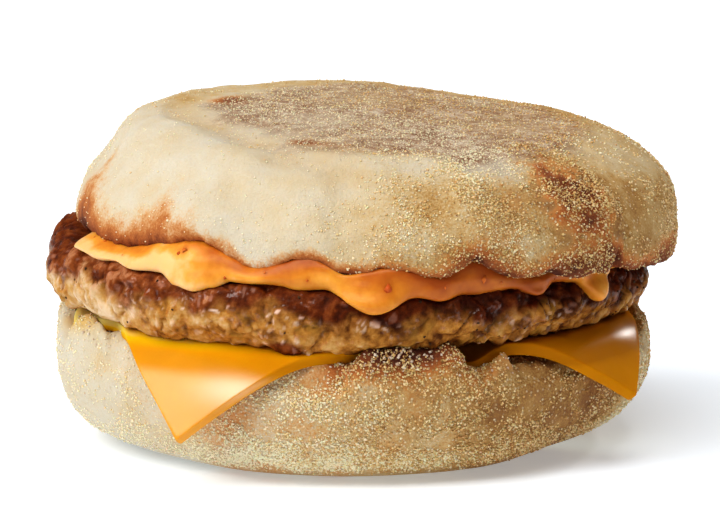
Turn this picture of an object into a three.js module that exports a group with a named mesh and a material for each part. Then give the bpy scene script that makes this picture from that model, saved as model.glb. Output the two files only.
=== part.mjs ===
import * as THREE from 'three';

// A split English muffin filled with a sausage patty, a slice of cheese and a chilli sauce.
// Millimetres, +Z up. The front faces -Y and the origin is the middle of the heel's flat underside.
// Azimuths are in degrees, counter-clockwise seen from above, with 0 along +X and 270 at the front.

// Driving dimensions
const GAP = 0.35;
const HEEL_RADIUS = 49.2;
const HEEL_TOP = 19.3;
const HEEL_LEAN = -0.018;
const HEEL_WAIST = 15.6;
const HEEL_ROUNDNESS = 2.15;
const HEEL_SHOULDER = 2.45;
const HEEL_SPRING = 2.0;

const CHEESE_THICKNESS = 2.0;
const CHEESE_FOLD = 45.5;
const CHEESE_BEND = 4.0;

const PATTY_RADIUS = 49.0;
const PATTY_CENTRE = { x: -1.3, y: -0.4 };
const PATTY_BASE = 22.1;
const PATTY_BASE_LEAN = -0.016;
const PATTY_TOP = 32.3;
const PATTY_TOP_LEAN = -0.042;
const PATTY_EDGE = 4.6;
const PATTY_ROUNDNESS = 2.2;
const PATTY_LUMP = 0.75;
const PATTY_LUMP_SIZE = 6.5;

const SAUCE_THICKNESS = 1.1;
const SAUCE_FILM = 0.5;
const SAUCE_BULGE = 1.7;

const CROWN_RADIUS = 49.2;
const CROWN_CENTRE = { x: 4.2, y: -0.2 };
const CROWN_PLATEAU = 52.2;
const CROWN_LEAN = { x: -0.04, y: 0.03 };
const CROWN_DOME = 0.8;

const TURN = 360;

// Azimuths at which the rings of a piece have points: closer together at the front
const AROUND = [...steps(198, 342, 64), ...steps(342, 558, 44)];

// Sides of the slice as it lies flat: the azimuth that each faces, and its distance from the middle
const CHEESE_SIDES = [[6, 43.8], [102, 36], [194, 42.4], [285.5, 44.3]];

// How steeply the slice's corners hang, in degrees below level
const hangAngle = around([[52, 60], [150, 62], [241, 57], [324, 51]]);

// Height of the crown's lower rim, where nothing holds it higher
const crownRimFree = around([
  [8, 30.4], [38, 32.2], [72, 33.0], [102, 34.8], [128, 34.2], [160, 35.4], [193, 35.0], [219, 35.6],
  [232, 37.3], [239, 38.4], [251.5, 34.3], [262, 36.8], [269, 34.1], [277, 35.2], [286, 33.8],
  [292.5, 36.0], [301, 33.2], [308, 33.0], [317, 32.0], [321, 32.3], [323.5, 35.0], [326, 32.2],
  [335, 31.1], [350, 30.2],
]);

// How far the sauce is squeezed out past the crown's rim
const squeeze = around([
  [5, -1.6], [22, 0.2], [60, 0.4], [78, -0.8], [100, 0.4], [120, -0.6], [140, 0.3], [160, -1.6],
  [186, -1.8], [196, 0.4], [240, 0.9], [250, -0.1], [262, -0.2], [274, 0.5], [286, 0.2], [293, -0.3],
  [307, 0.1], [314, -1.0], [322, 0.6], [330, -1.4],
]);

// Height of the sauce's lower edge, lowest where it drips
const sauceEdge = around([
  [6, 31.2], [24, 30.8], [38, 27.0], [54, 30.8], [84, 31.4], [100, 28.6], [116, 31.8], [134, 32.8],
  [146, 29.4], [160, 33.4], [178, 34.6], [194, 33.6], [212, 33.4], [222, 32.9], [233, 32.4],
  [240, 30.4], [248, 33.0], [255, 32.6], [260, 32.0], [265, 32.2], [274, 28.6], [282, 30.7], [286.5, 30.0],
  [292, 30.8], [301, 31.0], [307, 29.8], [313, 31.0], [317.5, 30.6], [323, 27.1], [328, 30.2],
  [345, 31.2],
]);

// Waves in the patty's lower edge
const pattyWave = around([
  [0, 0], [40, 0.7], [70, -0.3], [105, 0.6], [140, -0.2], [165, 0.5], [200, 0.2], [222, 0],
  [236, -0.3], [246, 0.3], [257, -0.5], [264, 0.2], [272, -0.3], [281, 0.2], [289, 1.0], [296, 0.6],
  [303, 1.1], [320, 1.0], [330, 1.2], [342, 0.5],
]);

// How much smaller the heel's flat underside is than its waist
const heelUndercut = around([
  [30, 16], [110, 14.5], [180, 14.2], [220, 17.6], [245, 15.2], [266, 15.2], [290, 16.0], [300, 16.4],
  [325, 21.5], [345, 20],
]);

// Torn rim of the heel: peaks and a notch, added to its height
const heelTear = around([
  [30, 0], [54, -1.4], [68, 0.4], [98, 0.3], [118, -1.4], [130, 0.5], [170, 0], [188, -0.4],
  [195.5, -3.0], [200, -0.4], [205, 0.9], [210, -0.4], [216, 0], [262, 0], [268, 0.8], [290, 0.8],
  [295.5, -3.4], [300, 0.5], [308, 0], [345, 0],
]);

// How much the edge of the crown's upper face stands above the even dome
const crownShoulder = around([
  [5, 0.6], [62, -0.9], [110, 0.3], [140, 0.2], [176, 1.0], [225, 0], [300, 0],
]);

// How far the crown's side has come in, in mm, against the fraction of its height: left and right
const CROWN_LEFT = [[0, 0.7], [0.08, 0], [0.21, 0.3], [0.40, 1.4], [0.50, 3.2], [0.64, 5.6], [0.79, 7.0],
  [0.91, 9.4], [1, 13.6]];
const CROWN_RIGHT = [[0, 0.9], [0.10, 0.1], [0.25, 0], [0.38, 0.3], [0.56, 1.7], [0.69, 3.7], [0.81, 6.8],
  [0.91, 10.6], [1, 15.2]];

function steps(from, to, count) {
  return Array.from({ length: count }, (_, i) => from + ((to - from) * i) / count);
}

// Every so many-th item of a list
function every(list, skip) {
  return list.filter((_, i) => i % skip === 0);
}

// Value between neighbouring [key, value] pairs, eased in and out, repeating every full turn
function around(pairs) {
  return (azimuth) => {
    const a = ((azimuth % TURN) + TURN) % TURN;
    const after = pairs.findIndex(([key]) => key > a);
    const next = after < 0 ? pairs[0] : pairs[after];
    const last = after <= 0 ? pairs[pairs.length - 1] : pairs[after - 1];
    const span = (next[0] - last[0] + TURN) % TURN;
    const t = ((a - last[0] + TURN) % TURN) / span;
    return last[1] + (next[1] - last[1]) * t * t * (3 - 2 * t);
  };
}

// Straight value between neighbouring [key, value] pairs
function along(pairs, key) {
  const after = Math.max(1, pairs.findIndex(([k]) => k >= key));
  const [k0, v0] = pairs[after - 1];
  const [k1, v1] = pairs[after];
  return v0 + ((v1 - v0) * (key - k0)) / (k1 - k0);
}

function ease(t) {
  const u = Math.min(1, Math.max(0, t));
  return u * u * (3 - 2 * u);
}

function cosine(azimuth) {
  return Math.cos(THREE.MathUtils.degToRad(azimuth));
}

function sine(azimuth) {
  return Math.sin(THREE.MathUtils.degToRad(azimuth));
}

// Repeatable value between -1 and 1 for a corner of a cubic lattice
function corner(i, j, k) {
  let h = Math.imul(i, 374761393) ^ Math.imul(j, 668265263) ^ Math.imul(k, 1274126177);
  h = Math.imul(h ^ (h >>> 15), 2246822519);
  h = Math.imul(h ^ (h >>> 13), 3266489917);
  return ((h ^ (h >>> 16)) >>> 0) / 2147483648 - 1;
}

// Lumps of about the given size: lattice values, eased between corners
function lumps(x, y, z, size) {
  const [i, j, k] = [x, y, z].map((v) => Math.floor(v / size));
  const [u, v, w] = [ease(x / size - i), ease(y / size - j), ease(z / size - k)];
  const mix = THREE.MathUtils.lerp;
  const edge = (dj, dk) => mix(corner(i, j + dj, k + dk), corner(i + 1, j + dj, k + dk), u);
  return mix(mix(edge(0, 0), edge(1, 0), v), mix(edge(0, 1), edge(1, 1), v), w);
}

// Distance from the origin, at that azimuth, of a circle whose centre is off the origin
function offsetCircle(azimuth, radius, centre) {
  const forward = centre.x * cosine(azimuth) + centre.y * sine(azimuth);
  const aside = centre.x * sine(azimuth) - centre.y * cosine(azimuth);
  return forward + Math.sqrt(radius * radius - aside * aside);
}

// A point at a radius and height, as [x, y, z]
function spot(azimuth, radius, height) {
  return [radius * cosine(azimuth), radius * sine(azimuth), height];
}

// A ring of points, at every so many-th azimuth; the shape gives [radius, height] at an azimuth
function ring(skip, shape) {
  return every(AROUND, skip).map((azimuth) => spot(azimuth, ...shape(azimuth)));
}

// Triangles of the band between two rings that may have different numbers of points.
// The ring that lags behind in its share of the turn moves on first.
function band(lower, upper) {
  const faces = [];
  let a = 0;
  let b = 0;
  while (a < lower.count || b < upper.count) {
    const p = lower.first + (a % lower.count);
    const q = upper.first + (b % upper.count);
    const lowerNext = (a + 1) / lower.count <= (b + 1) / upper.count;
    if (a < lower.count && (lowerNext || b >= upper.count)) {
      faces.push(p, lower.first + ((a + 1) % lower.count), q);
      a += 1;
    } else {
      faces.push(p, upper.first + ((b + 1) % upper.count), q);
      b += 1;
    }
  }
  return faces;
}

// A closed skin through rings, from the pole below, outwards and up to the pole above
function skin(pole, rings, top) {
  const points = [pole];
  const bands = [{ first: 0, count: 1 }];
  for (const points3 of rings) {
    bands.push({ first: points.length, count: points3.length });
    points.push(...points3);
  }
  bands.push({ first: points.length, count: 1 });
  points.push(top);
  const faces = [];
  for (let i = 0; i + 1 < bands.length; i += 1) {
    const isFan = bands[i].count === 1 || bands[i + 1].count === 1;
    faces.push(...(isFan ? fan(bands[i], bands[i + 1]) : band(bands[i], bands[i + 1])));
  }
  const geometry = new THREE.BufferGeometry();
  geometry.setAttribute('position', new THREE.Float32BufferAttribute(points.flat(), 3));
  geometry.setIndex(faces);
  geometry.computeVertexNormals();
  return geometry;
}

// Triangles between a pole and its ring
function fan(lower, upper) {
  const faces = [];
  const [pole, rim, below] = lower.count === 1 ? [lower, upper, true] : [upper, lower, false];
  for (let i = 0; i < rim.count; i += 1) {
    const p = rim.first + i;
    const q = rim.first + ((i + 1) % rim.count);
    faces.push(...(below ? [pole.first, q, p] : [p, q, pole.first]));
  }
  return faces;
}

// Cheese slice as it lies flat: its reach from the origin at an azimuth, out to its straight sides
function sliceReach(azimuth) {
  const reaches = CHEESE_SIDES.map(([facing, out]) => out / Math.max(0.01, cosine(azimuth - facing)));
  return Math.min(...reaches);
}

// The slice's corner between two neighbouring sides, as [x, y]
function sliceCorner([facing, out], [nextFacing, nextOut]) {
  const turn = sine(nextFacing - facing);
  const x = (out * sine(nextFacing) - nextOut * sine(facing)) / turn;
  const y = (nextOut * cosine(facing) - out * cosine(nextFacing)) / turn;
  return [x, y];
}

// How far from the middle the slice presses on the heel, at an azimuth or just beside it
function pressedReach(azimuth) {
  return Math.max(...[-3.5, 0, 3.5].map((step) => sliceReach(azimuth + step)));
}

// Top of the heel: pressed down under the slice, sprung up and torn where the slice leaves it bare
function heelTop(azimuth, radius) {
  const pressed = HEEL_TOP + HEEL_LEAN * radius * cosine(azimuth);
  const bare = ease((radius - pressedReach(azimuth) - 0.5) / 1.4);
  return pressed + bare * (HEEL_SPRING + heelTear(azimuth) * ease((radius - 41) / 4));
}

// Share to which the slice ends short of the heel's rim there
function bareRim(azimuth) {
  return ease((47.6 - pressedReach(azimuth)) / 1.6);
}

function heelRadius(azimuth) {
  return HEEL_RADIUS - 0.35 * (1 - lumps(...spot(azimuth, HEEL_RADIUS, 0), 14));
}

// The heel's lower side is a quarter of a superellipse, from the flat underside to the waist
function heelSide(azimuth, height) {
  const drop = (HEEL_WAIST - height) / HEEL_WAIST;
  const inward = 1 - (1 - drop ** HEEL_ROUNDNESS) ** (1 / HEEL_ROUNDNESS);
  return heelRadius(azimuth) - heelUndercut(azimuth) * inward;
}

function muffinHeel() {
  const rings = [ring(4, () => [20, 0])];
  for (const height of [0, 0.5, 1.8, 4.0, 7.0, 10.5, 13.5, HEEL_WAIST]) {
    rings.push(ring(1, (a) => [heelSide(a, height), height]));
  }
  for (const turn of [0, 28, 56, 90]) {
    rings.push(ring(1, (a) => {
      const middle = THREE.MathUtils.lerp(CHEESE_FOLD, heelRadius(a) - HEEL_SHOULDER - 0.3, bareRim(a));
      const radius = middle + HEEL_SHOULDER * cosine(turn);
      const covered = Math.min(heelTop(a, 46.8), heelTop(a, radius));
      const drop = HEEL_SHOULDER * (1 - sine(turn));
      return [radius, THREE.MathUtils.lerp(covered, heelTop(a, radius), bareRim(a)) - drop];
    }));
  }
  rings.push(ring(1, (a) => {
    const radius = Math.min(pressedReach(a) + 0.5, CHEESE_FOLD - 0.6);
    return [radius, heelTop(a, radius)];
  }));
  rings.push(ring(2, (a) => [34, heelTop(a, 34)]));
  rings.push(ring(4, (a) => [18, heelTop(a, 18)]));
  return skin([0, 0, 0], rings, [0, 0, HEEL_TOP]);
}

// The slice lies flat, bends over the heel's shoulder on an arc and then hangs straight.
// Distance runs out from the middle; lift is measured outwards from the mid surface.
function drape(azimuth, distance, lift) {
  const flat = Math.min(distance, CHEESE_FOLD);
  const middle = HEEL_TOP + HEEL_LEAN * flat * cosine(azimuth) + GAP + CHEESE_THICKNESS / 2;
  if (distance <= CHEESE_FOLD) return spot(azimuth, distance, middle + lift);
  const hang = hangAngle(azimuth);
  const bent = THREE.MathUtils.radToDeg((distance - CHEESE_FOLD) / CHEESE_BEND);
  const angle = Math.min(bent, hang);
  const arc = CHEESE_BEND + lift;
  const straight = Math.max(0, distance - CHEESE_FOLD - CHEESE_BEND * THREE.MathUtils.degToRad(hang));
  const radius = CHEESE_FOLD + arc * sine(angle) + straight * cosine(hang);
  return spot(azimuth, radius, middle - CHEESE_BEND + arc * cosine(angle) - straight * sine(hang));
}

function cheeseSlice() {
  const corners = CHEESE_SIDES.map((side, i) => sliceCorner(side, CHEESE_SIDES[(i + 1) % 4]));
  const azimuths = corners.flatMap(([x, y], i) => steps(0, 1, 20).map((t) => {
    const [nextX, nextY] = corners[(i + 1) % 4];
    const [px, py] = [x + (nextX - x) * t, y + (nextY - y) * t];
    return THREE.MathUtils.radToDeg(Math.atan2(py, px));
  }));
  const level = (share, lift, skip = 1) => every(azimuths, skip)
    .map((a) => {
      const reach = sliceReach(a);
      const start = Math.min(CHEESE_FOLD, reach - 1.5);
      const distance = share < 0 ? -share * start : start + share * (reach - start);
      return drape(a, distance, lift);
    });
  const shares = [[-0.4, 4], [-0.85, 2], [0, 1], [0.10, 1], [0.2, 1], [0.3, 1],
    [0.62, 1], [1, 1]];
  const half = CHEESE_THICKNESS / 2;
  const under = shares.map(([share, skip]) => level(share, -half, skip));
  const over = shares.map(([share, skip]) => level(share, half, skip)).reverse();
  return skin(drape(0, 0, -half), [...under, ...over], drape(0, 0, half));
}

function pattyRadius(azimuth) {
  const round = offsetCircle(azimuth, PATTY_RADIUS, PATTY_CENTRE);
  return round + 0.7 * lumps(...spot(azimuth, 60, 5), 22);
}

function pattyBase(x) {
  return PATTY_BASE + PATTY_BASE_LEAN * x + 0.9 * ease(x / 22) + 0.9 * ease((-x - 26) / 16);
}

function pattyTop(x) {
  return PATTY_TOP + PATTY_TOP_LEAN * x;
}

// Radius of the patty's side at a share of its half thickness, -1 at its base and 1 at its top:
// a superellipse with the ground meat's lumps on it
function pattySide(azimuth, share) {
  const inward = 1 - (1 - Math.abs(share) ** PATTY_ROUNDNESS) ** (1 / PATTY_ROUNDNESS);
  const radius = pattyRadius(azimuth) - PATTY_EDGE * inward;
  const fade = 1 - share ** 4;
  const height = share * 5;
  return radius + PATTY_LUMP * fade * lumps(...spot(azimuth, PATTY_RADIUS, height), PATTY_LUMP_SIZE);
}

function pattyHeight(azimuth, share) {
  const x = (PATTY_RADIUS - PATTY_EDGE) * cosine(azimuth);
  const wave = pattyWave(azimuth) * ease((share + 1) / 0.2) * ease((0.4 - share) / 1.1);
  return THREE.MathUtils.lerp(pattyBase(x), pattyTop(x), (share + 1) / 2) + wave;
}

// A point just off the patty's side, along the superellipse's normal
function offPatty(azimuth, share, away) {
  const level = (1 - Math.abs(share) ** PATTY_ROUNDNESS) ** (1 / PATTY_ROUNDNESS);
  const outward = level ** (PATTY_ROUNDNESS - 1) / PATTY_EDGE;
  const upward = (Math.sign(share) * Math.abs(share) ** (PATTY_ROUNDNESS - 1)) / PATTY_EDGE;
  const scale = away / Math.hypot(outward, upward);
  return [pattySide(azimuth, share) + scale * outward, pattyHeight(azimuth, share) + scale * upward];
}

function sausagePatty() {
  const flat = (skip, radius, height) => ring(skip, (a) => [radius, height(radius * cosine(a))]);
  const rings = [flat(4, 16, pattyBase), flat(2, 34, pattyBase)];
  for (const share of [-1, -0.93, -0.75, -0.47, -0.15, 0.2, 0.52, 0.78, 0.94, 1]) {
    rings.push(ring(1, (a) => [pattySide(a, share), pattyHeight(a, share)]));
  }
  rings.push(flat(2, 34, pattyTop), flat(4, 16, pattyTop));
  return skin([0, 0, pattyBase(0)], rings, [0, 0, pattyTop(0)]);
}

// The crown's lower rim: over the patty it stays above a thin film of sauce
function crownRim(azimuth) {
  const x = pattyRadius(azimuth) * cosine(azimuth);
  const past = ease((crownRadius(azimuth) - pattyRadius(azimuth)) / 4);
  return Math.max(crownRimFree(azimuth), pattyTop(x) + 2 * GAP + SAUCE_FILM - 2 * past);
}

function crownRadius(azimuth) {
  return offsetCircle(azimuth, CROWN_RADIUS, CROWN_CENTRE);
}

// Where the sauce meets the crown's rim: near the edge of whichever of crown and patty ends first
function sauceShoulder(azimuth) {
  return Math.min(crownRadius(azimuth) - 1.6, pattyRadius(azimuth) - 1.4) + Math.min(0, squeeze(azimuth));
}

// The sauce fills the space between patty and crown, thicker towards the rim
function sauceTop(azimuth, radius) {
  const x = radius * cosine(azimuth);
  const layer = pattyTop(x) + GAP + SAUCE_THICKNESS;
  const outward = ease((radius - 40) / (sauceShoulder(azimuth) - 40));
  return THREE.MathUtils.lerp(layer, Math.max(crownRim(azimuth) - GAP, layer - 0.6), outward);
}

// Share of the patty's half thickness at which the sauce's lower edge lies
function sauceShare(azimuth) {
  const x = (PATTY_RADIUS - PATTY_EDGE) * cosine(azimuth);
  const middle = (pattyBase(x) + pattyTop(x)) / 2;
  return Math.min(0.97, (sauceEdge(azimuth) - middle) / (pattyTop(x) - middle));
}

// Where the sauce has no drip over the patty's edge
function staysOnTop(azimuth) {
  return sauceShare(azimuth) > 0.96;
}

function sauce() {
  const under = (skip, radius) => ring(skip, (a) => [radius, pattyTop(radius * cosine(a)) + GAP]);
  const over = (skip, radius) => ring(skip, (a) => [radius, sauceTop(a, radius)]);
  // Inner face, against the patty: along its side from the top edge to the sauce's own edge
  const against = (part) => ring(1, (a) => {
    if (staysOnTop(a)) {
      const radius = Math.min(PATTY_RADIUS - PATTY_EDGE - 0.6, sauceShoulder(a) - 0.5) + 0.4 * part;
      return [radius, pattyTop(radius * cosine(a)) + (1 + part) * GAP];
    }
    return offPatty(a, THREE.MathUtils.lerp(1, sauceShare(a), part ** 1.5), 1.8 * GAP);
  });
  // Outer face: a rounded bead from the crown's rim down to the sauce's edge
  const bead = (turn) => ring(1, (a) => {
    const x = (PATTY_RADIUS - PATTY_EDGE) * cosine(a);
    const low = staysOnTop(a) ? pattyTop(x) + 2.4 * GAP : offPatty(a, sauceShare(a), 1.8 * GAP)[1];
    const high = sauceTop(a, sauceShoulder(a));
    const height = (low + high) / 2 + ((high - low) / 2) * sine(turn);
    const middle = (pattyBase(x) + pattyTop(x)) / 2;
    const share = Math.min(0.999, (height - middle) / (pattyTop(x) - middle));
    const beside = staysOnTop(a) ? 0 : pattySide(a, share) + 2 * GAP;
    const bulge = SAUCE_BULGE * (1 + Math.min(0, squeeze(a)) / 3);
    return [Math.max(beside, sauceShoulder(a)) + bulge * cosine(turn) ** 0.8, height];
  });
  const rings = [under(4, 18), under(2, 34), against(0), against(0.35), against(0.7), against(1)];
  for (const turn of [-62, -25, 20, 60]) rings.push(bead(turn));
  rings.push(ring(1, (a) => [sauceShoulder(a), sauceTop(a, sauceShoulder(a))]));
  rings.push(over(1, 40), over(2, 34), over(4, 18));
  return skin([0, 0, pattyTop(0) + GAP], rings, [0, 0, sauceTop(0, 0)]);
}

// Height of the crown's upper face: a leaning plateau with a slight dome and an uneven edge
function plateau(x, y) {
  const [dx, dy] = [x - CROWN_CENTRE.x, y - CROWN_CENTRE.y];
  const out = 2 * (Math.hypot(dx, dy) / CROWN_RADIUS) ** 2;
  const uneven = crownShoulder(THREE.MathUtils.radToDeg(Math.atan2(dy, dx))) * out;
  return CROWN_PLATEAU + CROWN_LEAN.x * x + CROWN_LEAN.y * y + CROWN_DOME * (1 - out) + uneven;
}

// A point of the crown's side at a fraction of the way up, from the lower rim to the plateau's edge
function crownSide(azimuth, share) {
  const right = (1 + cosine(azimuth)) / 2;
  const inward = THREE.MathUtils.lerp(along(CROWN_LEFT, share), along(CROWN_RIGHT, share), right);
  const edgeInward = THREE.MathUtils.lerp(CROWN_LEFT.at(-1)[1], CROWN_RIGHT.at(-1)[1], right);
  const edge = crownRadius(azimuth) - edgeInward;
  const top = plateau(edge * cosine(azimuth), edge * sine(azimuth));
  const height = THREE.MathUtils.lerp(crownRim(azimuth), top, share);
  const swell = 0.7 * lumps(...spot(azimuth, CROWN_RADIUS, height), 15);
  return [crownRadius(azimuth) - inward + swell * Math.sin(Math.PI * Math.sqrt(share)), height];
}

function muffinCrown() {
  // The underside clears the sauce below it and to either side
  const beside = [-3, -1.5, 0, 1.5, 3];
  const clear = (a, radius) => Math.max(...beside.map((step) => sauceTop(a + step, radius))) + GAP;
  const under = (skip, radius) => ring(skip, (a) => [radius, clear(a, radius)]);
  const rings = [under(4, 18), under(2, 34), under(1, 40)];
  rings.push(ring(1, (a) => {
    const radius = Math.min(sauceShoulder(a), crownRadius(a) - 2.4) - 0.5;
    return [radius, Math.max(crownRim(a) + 0.1, clear(a, radius))];
  }));
  for (const share of [0, 0.07, 0.16, 0.27, 0.38, 0.48, 0.58, 0.68, 0.78, 0.87, 0.94, 1]) {
    rings.push(ring(1, (a) => crownSide(a, share)));
  }
  for (const [skip, radius] of [[2, 24], [4, 12]]) {
    rings.push(every(AROUND, skip).map((a) => {
      const x = CROWN_CENTRE.x + radius * cosine(a);
      const y = CROWN_CENTRE.y + radius * sine(a);
      return [x, y, plateau(x, y)];
    }));
  }
  const [x, y] = [CROWN_CENTRE.x, CROWN_CENTRE.y];
  return skin([0, 0, sauceTop(0, 0) + GAP], rings, [x, y, plateau(x, y)]);
}

function piece(name, geometry, color, roughness) {
  const material = new THREE.MeshStandardMaterial({ color, roughness, metalness: 0, flatShading: true });
  const mesh = new THREE.Mesh(geometry, material);
  mesh.name = name;
  return mesh;
}

const sandwich = new THREE.Group();
sandwich.add(
  piece('muffin_heel', muffinHeel(), 0xd8bf94, 0.9),
  piece('cheese_slice', cheeseSlice(), 0xf5a81c, 0.35),
  piece('sausage_patty', sausagePatty(), 0x7a4a2c, 0.5),
  piece('sauce', sauce(), 0xf29a4c, 0.3),
  piece('muffin_crown', muffinCrown(), 0xd3b88c, 0.9),
);

export default sandwich;
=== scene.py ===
import math

import bpy
import numpy as np
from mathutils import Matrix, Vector


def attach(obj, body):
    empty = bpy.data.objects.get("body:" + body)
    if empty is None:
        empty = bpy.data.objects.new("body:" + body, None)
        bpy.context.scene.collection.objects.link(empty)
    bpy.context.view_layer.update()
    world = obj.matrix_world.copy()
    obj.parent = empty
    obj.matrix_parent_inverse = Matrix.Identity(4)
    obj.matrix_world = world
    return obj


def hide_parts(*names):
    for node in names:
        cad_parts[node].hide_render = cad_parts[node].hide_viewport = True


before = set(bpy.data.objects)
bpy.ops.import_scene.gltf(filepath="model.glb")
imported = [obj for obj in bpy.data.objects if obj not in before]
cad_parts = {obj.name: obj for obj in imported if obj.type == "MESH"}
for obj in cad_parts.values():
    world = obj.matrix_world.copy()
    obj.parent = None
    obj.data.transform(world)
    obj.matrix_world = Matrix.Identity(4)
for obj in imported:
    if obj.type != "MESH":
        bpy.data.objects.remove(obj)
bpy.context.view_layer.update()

# A split muffin with a sausage patty, a slice of cheese and a chilli sauce, dressed around the
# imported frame. Shapes are worked out in millimetres and put into the meshes in metres. Azimuths
# are in degrees, counter-clockwise seen from above, 0 along +X and 270 at the front.


# Camera, light and floor.
# The food stands on a white sweep in a white room, seen from 10 degrees above through a long
# lens. A large soft box at the left is the key, with weaker ones overhead and behind.
MM = 0.001
IMAGE_WIDTH = 720
PIXELS_PER_MM = 6.1
CAMERA_DISTANCE = 850
CAMERA_ELEVATION = 10
CAMERA_AIM = (1.31, 0, 27.9)
SENSOR_WIDTH = 36
LIGHT_DISTANCE = 2500


def toward(azimuth, elevation):
    """Unit vector that points to an azimuth and an elevation."""
    a, e = math.radians(azimuth), math.radians(elevation)
    return Vector((math.cos(e) * math.cos(a), math.cos(e) * math.sin(a), math.sin(e)))


def soft_box(name, azimuth, elevation, width, height, power, colour):
    """Area light at that place as seen from the food, facing it, with sizes in millimetres."""
    data = bpy.data.lights.new(name, "AREA")
    data.shape = "RECTANGLE"
    data.size, data.size_y = width * MM, height * MM
    data.energy = power
    data.color = colour
    lamp = bpy.data.objects.new(name, data)
    place = toward(azimuth, elevation)
    lamp.location = (Vector(CAMERA_AIM) + place * LIGHT_DISTANCE) * MM
    lamp.rotation_euler = place.to_track_quat("Z", "Y").to_euler()
    bpy.context.scene.collection.objects.link(lamp)


camera_data = bpy.data.cameras.new("camera")
camera_data.sensor_width = SENSOR_WIDTH
camera_data.lens = SENSOR_WIDTH * PIXELS_PER_MM * CAMERA_DISTANCE / IMAGE_WIDTH
camera = bpy.data.objects.new("camera", camera_data)
camera.location = (Vector(CAMERA_AIM) + toward(270, CAMERA_ELEVATION) * CAMERA_DISTANCE) * MM
camera.rotation_euler = (math.radians(90 - CAMERA_ELEVATION), 0, 0)
bpy.context.scene.collection.objects.link(camera)
bpy.context.scene.camera = camera
bpy.context.scene.view_settings.view_transform = "Standard"
bpy.context.scene.view_settings.look = "Medium High Contrast"

soft_box("key", 205, 43, 2300, 1700, 48, (1.0, 0.99, 0.97))
soft_box("overhead", 276, 68, 1500, 1500, 27, (1.0, 0.99, 0.97))
soft_box("behind", 48, 32, 260, 250, 8, (1.0, 0.97, 0.94))

world = bpy.data.worlds.new("white_room")
bpy.context.scene.world = world
world.use_nodes = True
world.node_tree.nodes["Background"].inputs["Color"].default_value = (1.0, 1.0, 1.0, 1)
world.node_tree.nodes["Background"].inputs["Strength"].default_value = 0.11


def surface(name):
    """New material: its node tree and its Principled shader."""
    material = bpy.data.materials.new(name)
    material.use_nodes = True
    return material, material.node_tree, material.node_tree.nodes["Principled BSDF"]


def joined(tree, value, socket):
    """Puts a number, a colour or another node's output into a socket."""
    if isinstance(value, bpy.types.NodeSocket):
        tree.links.new(value, socket)
    else:
        socket.default_value = value


def finish(shader, sockets):
    """Puts values into the shader's own sockets by name."""
    for name, value in sockets.items():
        joined(shader.id_data, value, shader.inputs[name])


FLOOR_HALF = 1500 * MM
floor_mesh = bpy.data.meshes.new("floor")
floor_corners = [(x * FLOOR_HALF, y * FLOOR_HALF, 0) for x, y in ((-1, -1), (1, -1), (1, 1), (-1, 1))]
floor_mesh.from_pydata(floor_corners, [], [(0, 1, 2, 3)])
floor_paint, tree, floor_shader = surface("white_sweep")
finish(floor_shader, {
    "Base Color": (0.87, 0.92, 0.99, 1), "Roughness": 0.9, "Specular IOR Level": 0.1,
    "Emission Color": (0.9, 0.96, 1, 1), "Emission Strength": 0.26,
})
floor_mesh.materials.append(floor_paint)
floor = bpy.data.objects.new("floor", floor_mesh)
bpy.context.scene.collection.objects.link(floor)


# Lower half of the muffin.
# Soft white bread with a thin dry crust that was baked on a griddle strewn with cornmeal. It
# stands on its flat underside, and its torn rim springs up where the cheese leaves it bare.
TURN = 360
FINE = np.arange(192, 348, 0.36)
COARSE = np.arange(348, 552, 0.9)
AZIMUTHS = np.concatenate([FINE, COARSE])
GAP = 0.35
HEEL_RADIUS = 49.2
HEEL_TOP = 19.3
HEEL_LEAN = -0.018
HEEL_WAIST = 15.6
HEEL_ROUNDNESS = 2.15
HEEL_SHOULDER = 2.45
HEEL_SPRING = 2.0
CHEESE_FOLD = 45.5
CHEESE_SIDES = [[6, 43.8], [102, 36], [194, 42.4], [285.5, 44.3]]
HEEL_UNDERCUT = {
    30: 16, 110: 14.5, 180: 14.2, 220: 17.6, 245: 15.2, 266: 15.2, 290: 16.0, 300: 16.4, 325: 21.5,
    345: 20,
}
HEEL_TEAR = {
    30: 0, 54: -1.4, 68: 0.4, 98: 0.3, 118: -1.4, 130: 0.5, 170: 0, 188: -0.4, 195.5: -3.0, 200: -0.4,
    205: 0.9, 210: -0.4, 216: 0, 262: 0, 268: 0.8, 290: 0.8, 295.5: -3.4, 300: 0.5, 308: 0, 345: 0,
}


def ease(t):
    """Rises from 0 to 1 as t does, level at both ends: 3 t squared less 2 t cubed."""
    t = np.clip(t, 0, 1)
    return t * t * (3 - 2 * t)


def bell(t):
    """1 where t is 0, fading to 0 either way: e to the power of less t squared."""
    return np.exp(-t ** 2)


def mix(low, high, t):
    """Straight blend from low to high."""
    return low + (high - low) * t


def cosine(azimuth):
    return np.cos(np.radians(azimuth))


def sine(azimuth):
    return np.sin(np.radians(azimuth))


def around(azimuth, table):
    """Value at an azimuth, eased between those that a table gives by azimuth, every turn."""
    first = min(table)
    keys, values = np.array([*table.items(), (first + TURN, table[first])], float).T
    a = (azimuth - first) % TURN + first
    n = np.clip(np.searchsorted(keys, a, side="right") - 1, 0, len(table) - 1)
    return mix(values[n], values[n + 1], ease((a - keys[n]) / (keys[n + 1] - keys[n])))


def corner(i, j, k):
    """Repeatable value from -1 to 1 for a corner of a cubic lattice: its numbers mixed by a hash."""
    i, j, k = (np.asarray(v).astype(np.int64).astype(np.uint32) for v in (i, j, k))
    h = (i * np.uint32(374761393)) ^ (j * np.uint32(668265263)) ^ (k * np.uint32(1274126177))
    h = (h ^ (h >> np.uint32(15))) * np.uint32(2246822519)
    h = (h ^ (h >> np.uint32(13))) * np.uint32(3266489917)
    return (h ^ (h >> np.uint32(16))) / 2147483648.0 - 1


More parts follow.
